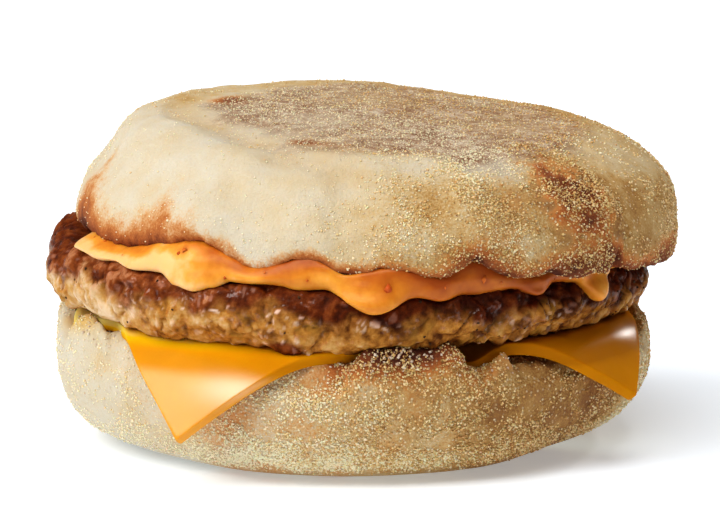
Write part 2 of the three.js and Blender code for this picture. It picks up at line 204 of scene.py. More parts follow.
def lumps(points, size):
    """Soft lumps of about that size: values at lattice corners, eased between them."""
    cell = np.floor(points / size)
    u, v, w = np.moveaxis(ease(points / size - cell), -1, 0)
    i, j, k = np.moveaxis(cell, -1, 0)
    near, far, high, top = (
        mix(corner(i, j + y, k + z), corner(i + 1, j + y, k + z), u) for z in (0, 1) for y in (0, 1)
    )
    return mix(mix(near, far, v), mix(high, top, v), w)


def rough(points, size, octaves, keep=0.5):
    """Sum of lumps, each octave turned, at 0.53 times the size and at keep times the height."""
    turned = np.array([[0.36, 0.48, -0.8], [-0.8, 0.6, 0.0], [0.48, 0.64, 0.6]])
    total, weight = 0, 1
    for _ in range(octaves):
        points = points @ turned + 31.7
        total = total + weight * lumps(points, size)
        size, weight = size * 0.53, weight * keep
    return total


def spot(azimuth, radius, height):
    """Points at those azimuths, radii and heights."""
    azimuth, radius, height = np.broadcast_arrays(azimuth, radius, height)
    return np.stack([radius * cosine(azimuth), radius * sine(azimuth), height], -1).astype(float)


def refine(rings, spacing, coarse, passes):
    """Rows of points between control rings, about the spacing apart, then eased along the profile.

    The bands named in coarse get rows four times as far apart. Each pass moves a row a quarter of
    the way to each neighbour, which rounds the corners of the profile.
    """
    rows = []
    for n in range(len(rings) - 1):
        gap = spacing * (4 if n in coarse or n - len(rings) + 1 in coarse else 1)
        count = max(1, round(np.linalg.norm(rings[n + 1] - rings[n], axis=-1).mean() / gap))
        rows += [mix(rings[n], rings[n + 1], t) for t in np.arange(count) / count]
    rows = np.array(rows + [rings[-1]])
    for _ in range(passes):
        rows[1:-1] = (rows[:-2] + 2 * rows[1:-1] + rows[2:]) / 4
    return rows


def outward(rows):
    """Unit normals of a grid whose rows go from the underside outwards and up to the top."""
    along = np.gradient(rows, axis=0)
    round_it = np.roll(rows, -1, 1) - np.roll(rows, 1, 1)
    normal = np.cross(round_it, along)
    return normal / np.maximum(np.linalg.norm(normal, axis=-1, keepdims=True), 1e-9)


def raised(rows, relief):
    """The grid with each point moved along its normal by the relief."""
    return rows + outward(rows) * relief[..., None]


def put(name, points, corners, sides, marks, material):
    """Object on the sandwich's one body: points in millimetres, faces and a number for each mark.

    Corners holds the points of face after face, sides how many each face has, and marks values
    by name.
    """
    mesh = bpy.data.meshes.new(name)
    mesh.vertices.add(len(points))
    mesh.vertices.foreach_set("co", (points * MM).ravel())
    mesh.loops.add(len(corners))
    mesh.loops.foreach_set("vertex_index", corners.astype(np.int32))
    mesh.polygons.add(len(sides))
    mesh.polygons.foreach_set("loop_start", (np.cumsum(sides) - sides).astype(np.int32))
    mesh.update(calc_edges=True)
    for mark, values in marks.items():
        mesh.attributes.new(mark, "FLOAT", "POINT").data.foreach_set("value", values.astype(np.float32))
    mesh.materials.append(material)
    piece = bpy.data.objects.new(name, mesh)
    bpy.context.scene.collection.objects.link(piece)
    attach(piece, "root")
    return piece


def shell(name, rows, marks, material):
    """Closed smooth piece through a grid of points, its first and last rows closed by a pole.

    Rows run from the underside outwards and up. marks holds a number for each grid point by name.
    """
    count, columns = rows.shape[:2]
    poles = np.stack([rows[0].mean(0), rows[-1].mean(0)])
    points = np.concatenate([rows.reshape(-1, 3), poles])
    here = np.arange(columns)
    after = (here + 1) % columns
    base = np.arange(count - 1)[:, None] * columns
    quads = np.stack([base + here, base + after, base + columns + after, base + columns + here], -1)
    low, high = count * columns, count * columns + 1
    last = (count - 1) * columns
    bottom = np.stack([np.full(columns, low), after, here], -1)
    top = np.stack([last + here, last + after, np.full(columns, high)], -1)
    corners = np.concatenate([quads.ravel(), bottom.ravel(), top.ravel()])
    sides = np.repeat([4, 3], [quads.size // 4, 2 * columns])
    marks = {mark: np.broadcast_to(values, (count, columns)).ravel() for mark, values in marks.items()}
    marks = {mark: np.append(values, [values[0], values[-1]]) for mark, values in marks.items()}
    piece = put(name, points, corners, sides, marks, material)
    piece.data.shade_smooth()
    return piece


def slice_reach(azimuth):
    """Distance from the middle to the straight sides of the cheese, as it lies flat."""
    return np.min([out / np.maximum(0.01, cosine(azimuth - facing)) for facing, out in CHEESE_SIDES], 0)


def pressed_reach(azimuth):
    """How far from the middle the slice presses on the heel, at an azimuth or just beside it."""
    return np.max([slice_reach(azimuth + step) for step in (-2.5, 0, 2.5)], 0)


def bare_rim(azimuth):
    """Share to which the slice ends short of the heel's rim there."""
    return ease((47.6 - pressed_reach(azimuth)) / 1.6)


def heel_top(azimuth, radius):
    """Top of the heel: pressed under the slice, sprung up and torn where the slice leaves it bare."""
    bare = ease((radius - pressed_reach(azimuth) - 0.5) / 1.4)
    torn = around(azimuth, HEEL_TEAR) * ease((radius - 41) / 4)
    return HEEL_TOP + HEEL_LEAN * radius * cosine(azimuth) + bare * (HEEL_SPRING + torn)


def heel_radius(azimuth):
    return HEEL_RADIUS - 0.35 * (1 - lumps(spot(azimuth, HEEL_RADIUS, 0), 14))


def heel_side(azimuth, height):
    """Point of the lower side: a quarter of a superellipse from the flat underside to the waist."""
    drop = (HEEL_WAIST - height) / HEEL_WAIST
    inward = 1 - (1 - drop ** HEEL_ROUNDNESS) ** (1 / HEEL_ROUNDNESS)
    return spot(azimuth, heel_radius(azimuth) - around(azimuth, HEEL_UNDERCUT) * inward, height)


def heel_shoulder(azimuth, turn):
    """Point of the rounded rim, turned from facing outwards at 0 to facing up at 90 degrees."""
    bare = bare_rim(azimuth)
    middle = mix(CHEESE_FOLD, heel_radius(azimuth) - HEEL_SHOULDER - 0.3, bare)
    radius = middle + HEEL_SHOULDER * cosine(turn)
    covered = np.minimum(heel_top(azimuth, 46.8), heel_top(azimuth, radius))
    drop = HEEL_SHOULDER * (1 - sine(turn))
    return spot(azimuth, radius, mix(covered, heel_top(azimuth, radius), bare) - drop)


def bearing(points, centre=(0, 0)):
    """Azimuths of points as seen from a centre."""
    return np.degrees(np.arctan2(points[..., 1] - centre[1], points[..., 0] - centre[0])) % TURN


def patch(points, azimuth, height, wide, tall, centre=(0, 0)):
    """1 in the middle of a spot on the side, fading to 0 towards its width and height."""
    away = (bearing(points, centre) - azimuth + 180) % TURN - 180
    across = np.radians(away) * HEEL_RADIUS / wide
    return np.exp(-across ** 2 - ((points[..., 2] - height) / tall) ** 2)


def patches(points, spots, centre=(0, 0)):
    """Sum of patches, each an amount and then the azimuth, height and two sizes of its patch."""
    return sum(amount * patch(points, *place, centre) for amount, *place in spots)


heel_turns = np.linspace(3, 90, 24)
heights = HEEL_WAIST * (1 - cosine(heel_turns) ** (2 / HEEL_ROUNDNESS))
rings = [spot(AZIMUTHS, radius, 0) for radius in (6, 20)]
rings += [heel_side(AZIMUTHS, height) for height in [0, *heights]]
rings += [heel_shoulder(AZIMUTHS, turn) for turn in (0, 14, 28, 42, 56, 73, 90)]
inner = np.minimum(pressed_reach(AZIMUTHS) + 0.5, CHEESE_FOLD - 0.6)
rings += [spot(AZIMUTHS, radius, heel_top(AZIMUTHS, radius)) for radius in (inner, 34, 10)]
heel_rows = refine(rings, spacing=0.36, coarse={0, 1, -1, -2}, passes=3)

heel_azimuth = bearing(heel_rows)
heel_out = np.hypot(heel_rows[..., 0], heel_rows[..., 1])
heel_seen = ease(heel_rows[..., 2] / 3) * ease((heel_out - 40) / 5)
heel_crest = ease((heel_rows[..., 2] - 16.5) / 3) * heel_seen
relief = 0.3 * rough(heel_rows, 9, 2) + 0.08 * rough(heel_rows + 50, 2.2, 2)
relief += 0.04 * rough(heel_rows, 0.9, 2) + heel_crest * (0.45 * rough(heel_rows, 2.6, 3) - 0.1)
relief -= 0.5 * patch(heel_rows, 296, 14, 1.2, 5)
heel_rows = raised(heel_rows, relief * heel_seen)
lift = around(heel_azimuth, {
    203: 0, 207: 0.8, 213: 1.3, 219: 1.8, 225: 1.3, 232: 0.2, 244: 0, 252: 0.9, 262: 1.7, 268: 1.3,
    272: 1.1, 287: 0.9, 291: 0, 298: 0, 300: 0.8, 303: 0,
})
lift += 0.5 * rough(heel_rows + 9, 1.7, 2) * ease((heel_out - 44) / 2)
heel_rows[..., 2] += heel_crest * lift
heel_bake = around(heel_azimuth, {
    0: 0.5, 60: 0.4, 140: 0.35, 200: 0.05, 225: 0.1, 243: 0.13, 262: 0.28, 285: 0.46, 298: 0.53,
    310: 0.64, 322: 0.7, 331: 0.66, 342: 0.2, 352: 0.35,
})
heel_bake += 0.07 * rough(heel_rows, 8, 3) + patches(heel_rows, [
    (0.16, 298, 13, 2.6, 6), (0.2, 280, 22.5, 9, 4), (0.08, 281, 18, 14, 6),
])
heel_bake += heel_crest * around(heel_azimuth, {0: 0, 255: 0, 270: 0.12, 330: 0.12})
toast = patches(heel_rows, [
    (0.96, 279.5, 22.6, 10, 3.8), (0.42, 294, 18.5, 3.2, 3.6), (0.1, 268, 19, 7, 3), (0.3, 303, 20, 4, 2),
])
toast += ease(0.8 * rough(heel_rows + 20, 6, 3)) * around(heel_azimuth, {
    0: 0, 235: 0, 255: 0.1, 330: 0.1,
})
toast += around(heel_azimuth, {
    30: -0.06, 205: -0.06, 230: 0.05, 243: 0.23, 262: 0.18, 285: 0.09, 300: 0, 335: -0.04,
})
heel_sand = around(heel_azimuth, {
    0: 0.5, 120: 0.5, 196: 0.15, 225: 0.45, 245: 0.9, 285: 1, 300: 0.75, 325: 0.5, 345: 0.5,
})
stain = heel_crest * patches(heel_rows, [(1, 196, 22, 4.5, 2.6), (0.75, 205, 22.4, 6, 2)])


def blend(tree, amount, low, high):
    """Colour between low and high."""
    node = tree.nodes.new("ShaderNodeMix")
    node.data_type = "RGBA"
    for value, index in ((amount, 0), (low, 6), (high, 7)):
        joined(tree, value, node.inputs[index])
    return node.outputs[2]


def sums(tree, how, *values):
    """Result of an arithmetic node."""
    node = tree.nodes.new("ShaderNodeMath")
    node.operation = how
    for value, socket in zip(values, node.inputs):
        joined(tree, value, socket)
    return node.outputs[0]


def between(tree, value, low, high, to_low=0.0, to_high=1.0):
    """Value moved from one range to another, eased and held at its ends."""
    node = tree.nodes.new("ShaderNodeMapRange")
    node.interpolation_type = "SMOOTHSTEP"
    for item, socket in zip((value, low, high, to_low, to_high), node.inputs):
        joined(tree, item, socket)
    return node.outputs[0]


def mark(tree, name):
    """A number that the mesh holds for each point."""
    node = tree.nodes.new("ShaderNodeAttribute")
    node.attribute_name = name
    return node.outputs["Fac"]


def ramp(tree, value, stops):
    """Colour along a ramp of colours by their places."""
    node = tree.nodes.new("ShaderNodeValToRGB")
    while len(node.color_ramp.elements) < len(stops):
        node.color_ramp.elements.new(1.0)
    for element, (place, colour) in zip(node.color_ramp.elements, stops.items()):
        element.position = place
        element.color = (*colour, 1)
    joined(tree, value, node.inputs[0])
    return node.outputs[0]


def noise(tree, size, detail, rough_share=0.55):
    """Noise from 0 to 1 on Object coordinates, with features of about that size in millimetres."""
    place = tree.nodes.new("ShaderNodeTexCoord")
    node = tree.nodes.new("ShaderNodeTexNoise")
    tree.links.new(place.outputs["Object"], node.inputs["Vector"])
    node.inputs["Scale"].default_value = 1 / (size * MM)
    node.inputs["Detail"].default_value = detail
    node.inputs["Roughness"].default_value = rough_share
    return node.outputs["Fac"]


def swing(tree, size, detail, rough_share=0.55):
    """The same noise from -0.5 to 0.5."""
    return sums(tree, "SUBTRACT", noise(tree, size, detail, rough_share), 0.5)


def bump(shader, height, depth):
    """Fine relief of that depth in millimetres on the shader's normal."""
    node = shader.id_data.nodes.new("ShaderNodeBump")
    node.inputs["Distance"].default_value = depth * MM
    joined(shader.id_data, height, node.inputs["Height"])
    finish(shader, {"Normal": node.outputs["Normal"]})


def crust_group():
    """Shader group for griddled crust.

    Bake goes from floury cream through gold to brown. Toast lays orange to red brown over it,
    Griddle the mottled brown of the griddled face, and Sand the specks of fine meal. On the
    crown, Bake and Griddle also carry painted shade along the groove below the plateau.
    """
    tree = bpy.data.node_groups.new("griddled_crust", "ShaderNodeTree")
    for name in ("Bake", "Toast", "Griddle", "Sand"):
        tree.interface.new_socket(name, in_out="INPUT", socket_type="NodeSocketFloat")
    tree.interface.new_socket("Colour", in_out="OUTPUT", socket_type="NodeSocketColor")
    tree.interface.new_socket("Roughness", in_out="OUTPUT", socket_type="NodeSocketFloat")
    tree.interface.new_socket("Height", in_out="OUTPUT", socket_type="NodeSocketFloat")
    given = tree.nodes.new("NodeGroupInput").outputs
    wide = swing(tree, 6, 4)
    fine = swing(tree, 0.36, 3, 0.65)
    speck = sums(tree, "MULTIPLY", fine, between(tree, given["Sand"], 0, 1, 0.18, 0.95))
    baked = sums(tree, "MULTIPLY_ADD", wide, 0.42, given["Bake"])
    mottled = sums(tree, "MULTIPLY", swing(tree, 2.2, 3), between(tree, given["Bake"], 0.1, 0.4, 0.06, 0.4))
    baked = sums(tree, "ADD", baked, mottled)
    baked = sums(tree, "ADD", baked, speck)
    colour = ramp(tree, baked, {
        0.0: (0.66, 0.59, 0.465), 0.2: (0.64, 0.515, 0.33), 0.4: (0.57, 0.39, 0.18),
        0.56: (0.45, 0.25, 0.075), 0.74: (0.27, 0.115, 0.032), 1.0: (0.08, 0.025, 0.01),
    })
    scorched = sums(tree, "MULTIPLY_ADD", wide, 0.5, given["Toast"])
    scorched = sums(tree, "MULTIPLY_ADD", fine, 0.48, scorched)
    brown = ramp(tree, scorched, {
        0.1: (0.71, 0.44, 0.19), 0.3: (0.61, 0.27, 0.075), 0.5: (0.44, 0.14, 0.035),
        0.7: (0.24, 0.065, 0.018), 0.92: (0.085, 0.02, 0.008),
    })
    colour = blend(tree, between(tree, scorched, 0.0, 0.45), colour, brown)
    browned = sums(tree, "MULTIPLY_ADD", swing(tree, 6, 5, 0.7), 1.3, 0.415)
    browned = sums(tree, "MULTIPLY_ADD", swing(tree, 1.6, 3), 1.4, browned)
    browned = sums(tree, "MULTIPLY_ADD", fine, 1.6, browned)
    browned = sums(tree, "MULTIPLY_ADD", given["Toast"], -0.6, browned)
    griddled = ramp(tree, browned, {
        0.1: (0.21, 0.10, 0.05), 0.4: (0.37, 0.225, 0.135), 0.65: (0.51, 0.37, 0.255),
        0.9: (0.69, 0.59, 0.46),
    })
    colour = blend(tree, given["Griddle"], colour, griddled)
    gathered = tree.nodes.new("NodeGroupOutput")
    place = tree.nodes.new("ShaderNodeTexCoord")
    meal = tree.nodes.new("ShaderNodeTexVoronoi")
    tree.links.new(place.outputs["Object"], meal.inputs["Vector"])
    meal.inputs["Scale"].default_value = 1 / (0.62 * MM)
    pick = tree.nodes.new("ShaderNodeSeparateColor")
    tree.links.new(meal.outputs["Color"], pick.inputs["Color"])
    share = sums(tree, "MULTIPLY", given["Sand"], 0.6)
    there = between(tree, sums(tree, "SUBTRACT", share, pick.outputs[0]), 0, 0.05)
    grain = sums(tree, "MULTIPLY", between(tree, meal.outputs["Distance"], 0.42, 0.25), there)
    baking = between(tree, given["Bake"], 0.1, 0.4)
    dark_grain = blend(tree, baking, (0.72, 0.62, 0.44, 1), (0.46, 0.28, 0.11, 1))
    grain_tone = blend(tree, pick.outputs[1], dark_grain, (0.90, 0.74, 0.48, 1))
    colour = blend(tree, sums(tree, "MULTIPLY", grain, 0.8), colour, grain_tone)
    tree.links.new(colour, gathered.inputs["Colour"])
    tree.links.new(between(tree, grain, 0.0, 1.0, 0.85, 0.4), gathered.inputs["Roughness"])
    relief = sums(tree, "MULTIPLY_ADD", grain, 0.6, noise(tree, 0.5, 4, 0.65))
    tree.links.new(relief, gathered.inputs["Height"])
    return tree


crust = crust_group()


def crust_material(name, stained=False):
    """Crust of one half of the muffin, with a little light passing through the bread."""
    material, tree, shader = surface(name)
    group = tree.nodes.new("ShaderNodeGroup")
    group.node_tree = crust
    for label in ("Bake", "Toast", "Griddle", "Sand"):
        tree.links.new(mark(tree, label.lower()), group.inputs[label])
    colour = group.outputs["Colour"]
    if stained:
        colour = blend(tree, mark(tree, "stain"), colour, (0.68, 0.42, 0.08, 1))
    finish(shader, {
        "Base Color": colour, "Roughness": group.outputs["Roughness"], "Subsurface Weight": 0.12,
        "Subsurface Radius": (1.0, 0.55, 0.25), "Subsurface Scale": 1.5 * MM, "Specular IOR Level": 0.3,
    })
    bump(shader, group.outputs["Height"], 0.22)
    return material


heel = shell("heel_crust", heel_rows, {
    "bake": heel_bake, "toast": toast, "griddle": 0.0, "sand": heel_sand, "stain": stain,
}, crust_material("heel_crust", stained=True))
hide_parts("muffin_heel")


# Cheese slice.
# One square of processed cheese, 2 mm thick, smooth and a little translucent. It lies on the
# heel, and its four warm corners bend over the rim and hang.
CHEESE_THICKNESS = 2.0
CHEESE_SOFTNESS = 4.4
CHEESE_BEND_RADIUS = 44.6
HANG_ANGLES = (66, 68, 66, 60)
SIDE_STEPS = 110
BEND_STEPS = 48
EDGE_ROUND = 0.35


def slice_corners():
    """The slice's four corners as it lies flat, each where two neighbouring sides cross."""
    corners = []
    for (facing, out), (turned, far) in zip(CHEESE_SIDES, CHEESE_SIDES[1:] + CHEESE_SIDES[:1]):
        x = (out * sine(turned) - far * sine(facing)) / sine(turned - facing)
        y = (far * cosine(facing) - out * cosine(turned)) / sine(turned - facing)
        corners.append((x, y))
    return np.array(corners)


def melted(azimuth):
    """Share to which the slice's left side has melted and run out over the heel's torn rim."""
    return bell((azimuth % TURN - 200) / 9)


def slice_azimuths(corners):
    """Azimuths of even steps along the slice's four straight sides."""
    share = (np.arange(SIDE_STEPS) / SIDE_STEPS)[None, :, None]
    points = mix(corners[:, None], np.roll(corners, -1, 0)[:, None], share).reshape(-1, 2)
    return np.degrees(np.arctan2(points[:, 1], points[:, 0]))


def drape(azimuth, distance, lift):
    """Slice lying flat, with each corner bent down over the rim about a nearly straight line.

    Past the fold a corner's slope grows to its own angle as 1 - exp(-length / softness). The way
    out and the way down are the running sums of the slope's cosine and sine. Lift is measured
    along the normal from the middle of the thickness.
    """
    flat = spot(azimuth, distance, 0)
    level = HEEL_TOP + GAP + CHEESE_THICKNESS / 2
    level = level + HEEL_LEAN * np.minimum(distance, CHEESE_FOLD) * cosine(azimuth)
    rise = around(azimuth, {60: 0.5, 200: 0.9, 235: 0.9, 262: 0.5, 284: 0.4, 294: 0, 303: 1, 340: 1.1})
    level = level + rise * ease((distance - 36) / 6) * (1 - ease((distance - 45) / 8))
    level = level - 1.9 * melted(azimuth) * ease((distance - 43) / 5)
    sag = 1.9 * bell((azimuth % TURN - 294.5) / 4.5) * ease((distance - 39) / 5)
    points = flat + np.stack([0 * level, 0 * level, level - sag], -1)
    normal = np.zeros_like(points)
    normal[..., 2] = 1
    share = (np.arange(BEND_STEPS) + 0.5) / BEND_STEPS
    for corner_at, hang in zip(slice_corners(), HANG_ANGLES):
        ahead = np.append(corner_at / np.hypot(*corner_at), 0)
        along = flat @ ahead
        aside = flat[..., 0] * ahead[1] - flat[..., 1] * ahead[0]
        past = np.maximum(0, along - np.sqrt(CHEESE_BEND_RADIUS ** 2 - (0.55 * aside) ** 2))
        slope = np.radians(hang) * (1 - np.exp(-past[..., None] * share / CHEESE_SOFTNESS))
        last = np.radians(hang) * (1 - np.exp(-past / CHEESE_SOFTNESS))
        points = points + (past * (np.cos(slope).mean(-1) - 1))[..., None] * ahead
        points[..., 2] -= past * np.sin(slope).mean(-1)
        normal = normal + np.sin(last)[..., None] * ahead
        normal[..., 2] += np.cos(last) - 1
    return points + lift * normal


azimuths = slice_azimuths(slice_corners())
cheese_reach = slice_reach(azimuths)
cheese_reach += (5.4 + 0.8 * lumps(spot(azimuths, 48, 0), 3)) * melted(azimuths)
half = CHEESE_THICKNESS / 2
flats = [(cheese_reach - EDGE_ROUND) * s for s in (0.1, 0.5, *np.linspace(0.66, 1, 34)[:-1])]
rings = [drape(azimuths, flat, -half) for flat in flats]
for turn in np.linspace(-90, 90, 9):
    out = cheese_reach - EDGE_ROUND * (1 - abs(cosine(turn)) ** 0.6)
    lift = half * np.sign(turn) * abs(sine(turn)) ** 0.6
    rings.append(drape(azimuths, out, lift))
rings += [drape(azimuths, flat, half) for flat in flats[::-1]]
cheese_rows = np.array(rings)
cheese_rows = raised(cheese_rows, 0.06 * rough(cheese_rows, 8, 2))

cheese_paint, tree, shader = surface("cheese")
# Mark "deep" turns the slice from pale yellow to dark amber. It holds painted shade, and paler melted
# cheese where the slice ran thin.
deep = sums(tree, "MULTIPLY_ADD", noise(tree, 9, 3), 0.3, mark(tree, "deep"))
cheese_tone = ramp(tree, deep, {
    0.0: (0.85, 0.66, 0.2), 0.1: (0.84, 0.475, 0.004), 0.4: (0.76, 0.31, 0.002),
    0.95: (0.46, 0.165, 0.001),
})
finish(shader, {
    "Base Color": cheese_tone, "Roughness": between(tree, noise(tree, 3, 4), 0.3, 0.7, 0.6, 0.72),
    "Coat Weight": mark(tree, "gloss"), "Coat Roughness": 0.23, "Coat IOR": 2.3,
    "Specular IOR Level": 0.06, "Specular Tint": (1, 0.7, 0.25, 1), "Subsurface Weight": 0.25,
    "Subsurface Radius": (1.0, 0.45, 0.05), "Subsurface Scale": 2.0 * MM,
})
bump(shader, noise(tree, 1.2, 3), 0.03)
# Painted shade: the slice darkens towards the right, most on the far-right flap, which hangs in shade.
shade = around(bearing(cheese_rows), {
    180: 0.1, 236: 0.05, 262: 0.3, 286: 0.5, 297: 0.65, 338: 0.6, 352: 0.2,
})
fold = ease((cheese_rows[..., 2] - 17.2) / 2)
gloss = 0.32 - 0.6 * shade - 0.27 * fold + 0.6 * patch(cheese_rows, 250, 16.6, 6, 2.2)
gloss = np.maximum(gloss, 0.01) + 0.6 * patch(cheese_rows, 336, 20.9, 3.2, 3.2)
# Painted shade on the front-left flap's hanging face, which faces the key light.
shade += around(bearing(cheese_rows), {30: 0, 225: 0.2, 262: 0.2, 285: 0}) * (1 - fold)
# Painted shade in a band along the fold, and painted light just under the patty, where its shadow falls.
shade += fold * mix(-0.14, 0.36, ease((22.4 - cheese_rows[..., 2]) / 2))
# Paler where the slice melted thin over the heel's rim: the cheese's own colour.
shade -= 0.42 * melted(bearing(cheese_rows))
cheese_marks = {"deep": shade, "gloss": np.clip(gloss, 0, 1)}
cheese = shell("cheese_slice_soft", cheese_rows, cheese_marks, cheese_paint)
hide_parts("cheese_slice")


# Sausage patty.
# Coarsely ground seasoned pork, pressed into a disc and seared on both faces: dark brown along
# the upper edge, tan and grey pink lower down, wet with fat and full of small nodules.
PATTY_RADIUS = 49.0
PATTY_CENTRE = (-1.3, -0.4)
PATTY_BASE = 22.1
PATTY_BASE_LEAN = -0.016
PATTY_TOP = 32.3
PATTY_TOP_LEAN = -0.042
PATTY_EDGE = 4.6
PATTY_ROUNDNESS = 2.2
PATTY_LUMP = 0.75
PATTY_LUMP_SIZE = 6.5
PATTY_WAVE = {
    0: 0, 40: 0.7, 70: -0.3, 105: 0.6, 140: -0.2, 165: 0.5, 200: 0.2, 222: 0, 236: -0.3, 246: 0.3,
    257: -0.5, 264: 0.2, 272: -0.3, 281: 0.2, 289: 1.0, 296: 0.6, 303: 1.1, 320: 1.0, 330: 1.2, 342: 0.5,
}
SAUCE_EDGE = {
    6: 31.2, 24: 30.8, 38: 27.0, 54: 30.8, 84: 31.4, 100: 28.6, 116: 31.8, 134: 32.8, 146: 29.4,
    158: 33.6, 166: 35.6, 202: 35.6, 206: 34.2, 213: 34.2, 219: 33.6, 225: 32.8, 231.5: 33.0, 236: 31.8,
    240: 31.2, 243.5: 32.0, 248: 33.3, 255: 32.9, 260: 32.2, 265: 32.2, 274: 28.6, 282: 30.7,
    286.5: 30.0, 292: 30.8, 301: 31.0, 307: 29.8, 313: 31.0, 317.5: 30.6, 323: 27.1, 328: 30.2,
    345: 31.2,
}
PATTY_AZIMUTHS = np.concatenate([np.arange(190, 350, 0.3), np.arange(350, 550, 0.9)])


def offset_circle(azimuth, radius, centre):
    """Distance from the origin to a circle whose centre is off the origin."""
    forward = centre[0] * cosine(azimuth) + centre[1] * sine(azimuth)
    aside = centre[0] * sine(azimuth) - centre[1] * cosine(azimuth)
    return forward + np.sqrt(radius * radius - aside * aside)


def patty_radius(azimuth):
    return offset_circle(azimuth, PATTY_RADIUS, PATTY_CENTRE) + 0.7 * lumps(spot(azimuth, 60, 5), 22)


def patty_base(x):
    return PATTY_BASE + PATTY_BASE_LEAN * x + 0.9 * ease(x / 22) + 0.9 * ease((-x - 26) / 16)


def patty_top(x):
    return PATTY_TOP + PATTY_TOP_LEAN * x


def patty_side(azimuth, share):
    """Radius of the side at -1 for the base to 1 for the top: a superellipse with lumps on it."""
    inward = 1 - (1 - abs(share) ** PATTY_ROUNDNESS) ** (1 / PATTY_ROUNDNESS)
    lump = PATTY_LUMP * (1 - share ** 4) * lumps(spot(azimuth, PATTY_RADIUS, share * 5), PATTY_LUMP_SIZE)
    return patty_radius(azimuth) - PATTY_EDGE * inward + lump


def patty_height(azimuth, share):
    x = (PATTY_RADIUS - PATTY_EDGE) * cosine(azimuth)
    wave = around(azimuth, PATTY_WAVE) * ease((share + 1) / 0.2) * ease((0.4 - share) / 1.1)
    return mix(patty_base(x), patty_top(x), (share + 1) / 2) + wave


def pebbles(points, size):
    """Nodules of about that size packed together: one jittered middle in each cell of a lattice.

    Returns how far each point is inside its nodule, as the second nearest distance less the
    nearest, over the size, and a repeatable number from 0 to 1 for the nodule.
    """
    cell = np.floor(points / size)
    nearest = np.full(points.shape[:-1], 9.0)
    second = np.full(points.shape[:-1], 9.0)
    which = np.zeros(points.shape[:-1])
    for step in np.ndindex(3, 3, 3):
        i, j, k = np.moveaxis(cell + np.array(step) - 1, -1, 0)
        jitter = np.stack([corner(i + 17 * n, j - 5 * n, k + 9 * n) for n in (1, 2, 3)], -1)
        middle = np.stack([i, j, k], -1) + 0.5 + 0.42 * jitter
        away = np.linalg.norm(points / size - middle, axis=-1)
        closer = away < nearest
        second = np.where(closer, nearest, np.minimum(second, away))
        which = np.where(closer, corner(i + 71, j + 13, k - 29), which)
        nearest = np.where(closer, away, nearest)
    return second - nearest, which * 0.5 + 0.5


def billow(points, size):
    """Rounded bumps with creases between them: how far a noise is from 0, either way."""
    return np.minimum(1, 2.2 * abs(rough(points, size, 2, 0.35)))


def bulge(inside):
    """Rounded top of a nodule, from 0 at its crease to 1 in its middle."""
    return 1 - (1 - np.clip(inside * 1.5, 0, 1)) ** 2


rings = [spot(PATTY_AZIMUTHS, r, patty_base(r * cosine(PATTY_AZIMUTHS))) for r in (6, 34)]
for turn in np.linspace(-90, 90, 31):
    share = np.sign(turn) * abs(sine(turn)) ** (2 / PATTY_ROUNDNESS)
    side, height = patty_side(PATTY_AZIMUTHS, share), patty_height(PATTY_AZIMUTHS, share)
    rings.append(spot(PATTY_AZIMUTHS, side, height))
rings += [spot(PATTY_AZIMUTHS, r, patty_top(r * cosine(PATTY_AZIMUTHS))) for r in (34, 6)]
patty_rows = refine(rings, spacing=0.28, coarse={0, 1, -1, -2}, passes=2)
patty_seen = ease((np.hypot(patty_rows[..., 0], patty_rows[..., 1]) - 40) / 5)
warp = patty_rows + 0.9 * np.stack([rough(patty_rows + s, 2.5, 2) for s in (0, 70, 140)], -1)
chunk = billow(warp, 5.2)
crumble = billow(warp + 60, 2.5)
shred = billow(warp + 90, 1.25)
small_inside, small_id = pebbles(warp, 2.0)
broken = ease(0.5 + 1.6 * rough(patty_rows + 33, 7, 2))
relief = 0.6 * chunk + (0.22 + 0.3 * broken) * crumble + (0.08 + 0.14 * broken) * shred
relief += 0.4 * broken * bulge(small_inside) * (small_id > 0.6)
relief += 0.06 * rough(patty_rows, 0.8, 1) - 0.5
relief += 0.9 * patch(patty_rows, 257.5, 22.6, 2.6, 1.1)
covered = ease((patty_rows[..., 2] - around(bearing(patty_rows), SAUCE_EDGE)) / 0.9 + 0.7)
relief -= covered * (0.8 * relief + 0.25)
relief -= 0.45 * patch(patty_rows, 192, 31.5, 10, 4)
patty_rows = raised(patty_rows, relief * patty_seen)
patty_rows[..., 2] -= 0.8 * patty_seen * patch(patty_rows, 192, 34.5, 10, 2.5)
patty_level = (patty_rows[..., 2] - patty_base(patty_rows[..., 0])) / (PATTY_TOP - PATTY_BASE)
patty_azimuth = bearing(patty_rows)
sear_line = around(patty_azimuth, {
    0: 0.45, 90: 0.45, 170: 0.5, 190: 0.5, 205: 0.6, 222: 0.52, 232: 0.46, 240: 0.6, 252: 0.6, 262: 0.54,
    272: 0.46, 280: 0.4, 290: 0.42, 305: 0.44, 318: 0.42, 335: 0.38,
})
sear = ease((patty_level - sear_line + 0.2 * rough(patty_rows, 4, 3)) / 0.3 + 0.5)
sear = np.maximum(sear, 0.75 * ease((0.04 - patty_level) / 0.1))
sear = np.maximum(sear, ease(2 * patch(patty_rows, 257.5, 22.6, 2.8, 1.2)))
# Painted shade: near-black laid in the creases between the lumps, more on the seared band.
crease = (0.62 + 0.2 * sear) * (0.3 + 0.7 * broken)
crease *= 1 - ease(2.2 * crumble + 0.6 * shred)
patty_tone = around(patty_azimuth, {
    0: 0.1, 180: 0.3, 215: 0.68, 240: 0.31, 262: 0.27, 276: 0.1, 292: -0.03, 308: -0.02, 320: 0.1,
    332: 0.22,
})
patty_tone -= 0.16 * patch(patty_rows, 193, 33, 8, 2.5)
patty_tone += 0.22 * crumble + 0.12 * shred
patty_tone += 0.28 * rough(patty_rows + 7, 1.8, 3) + 0.12 * rough(patty_rows, 7, 2)
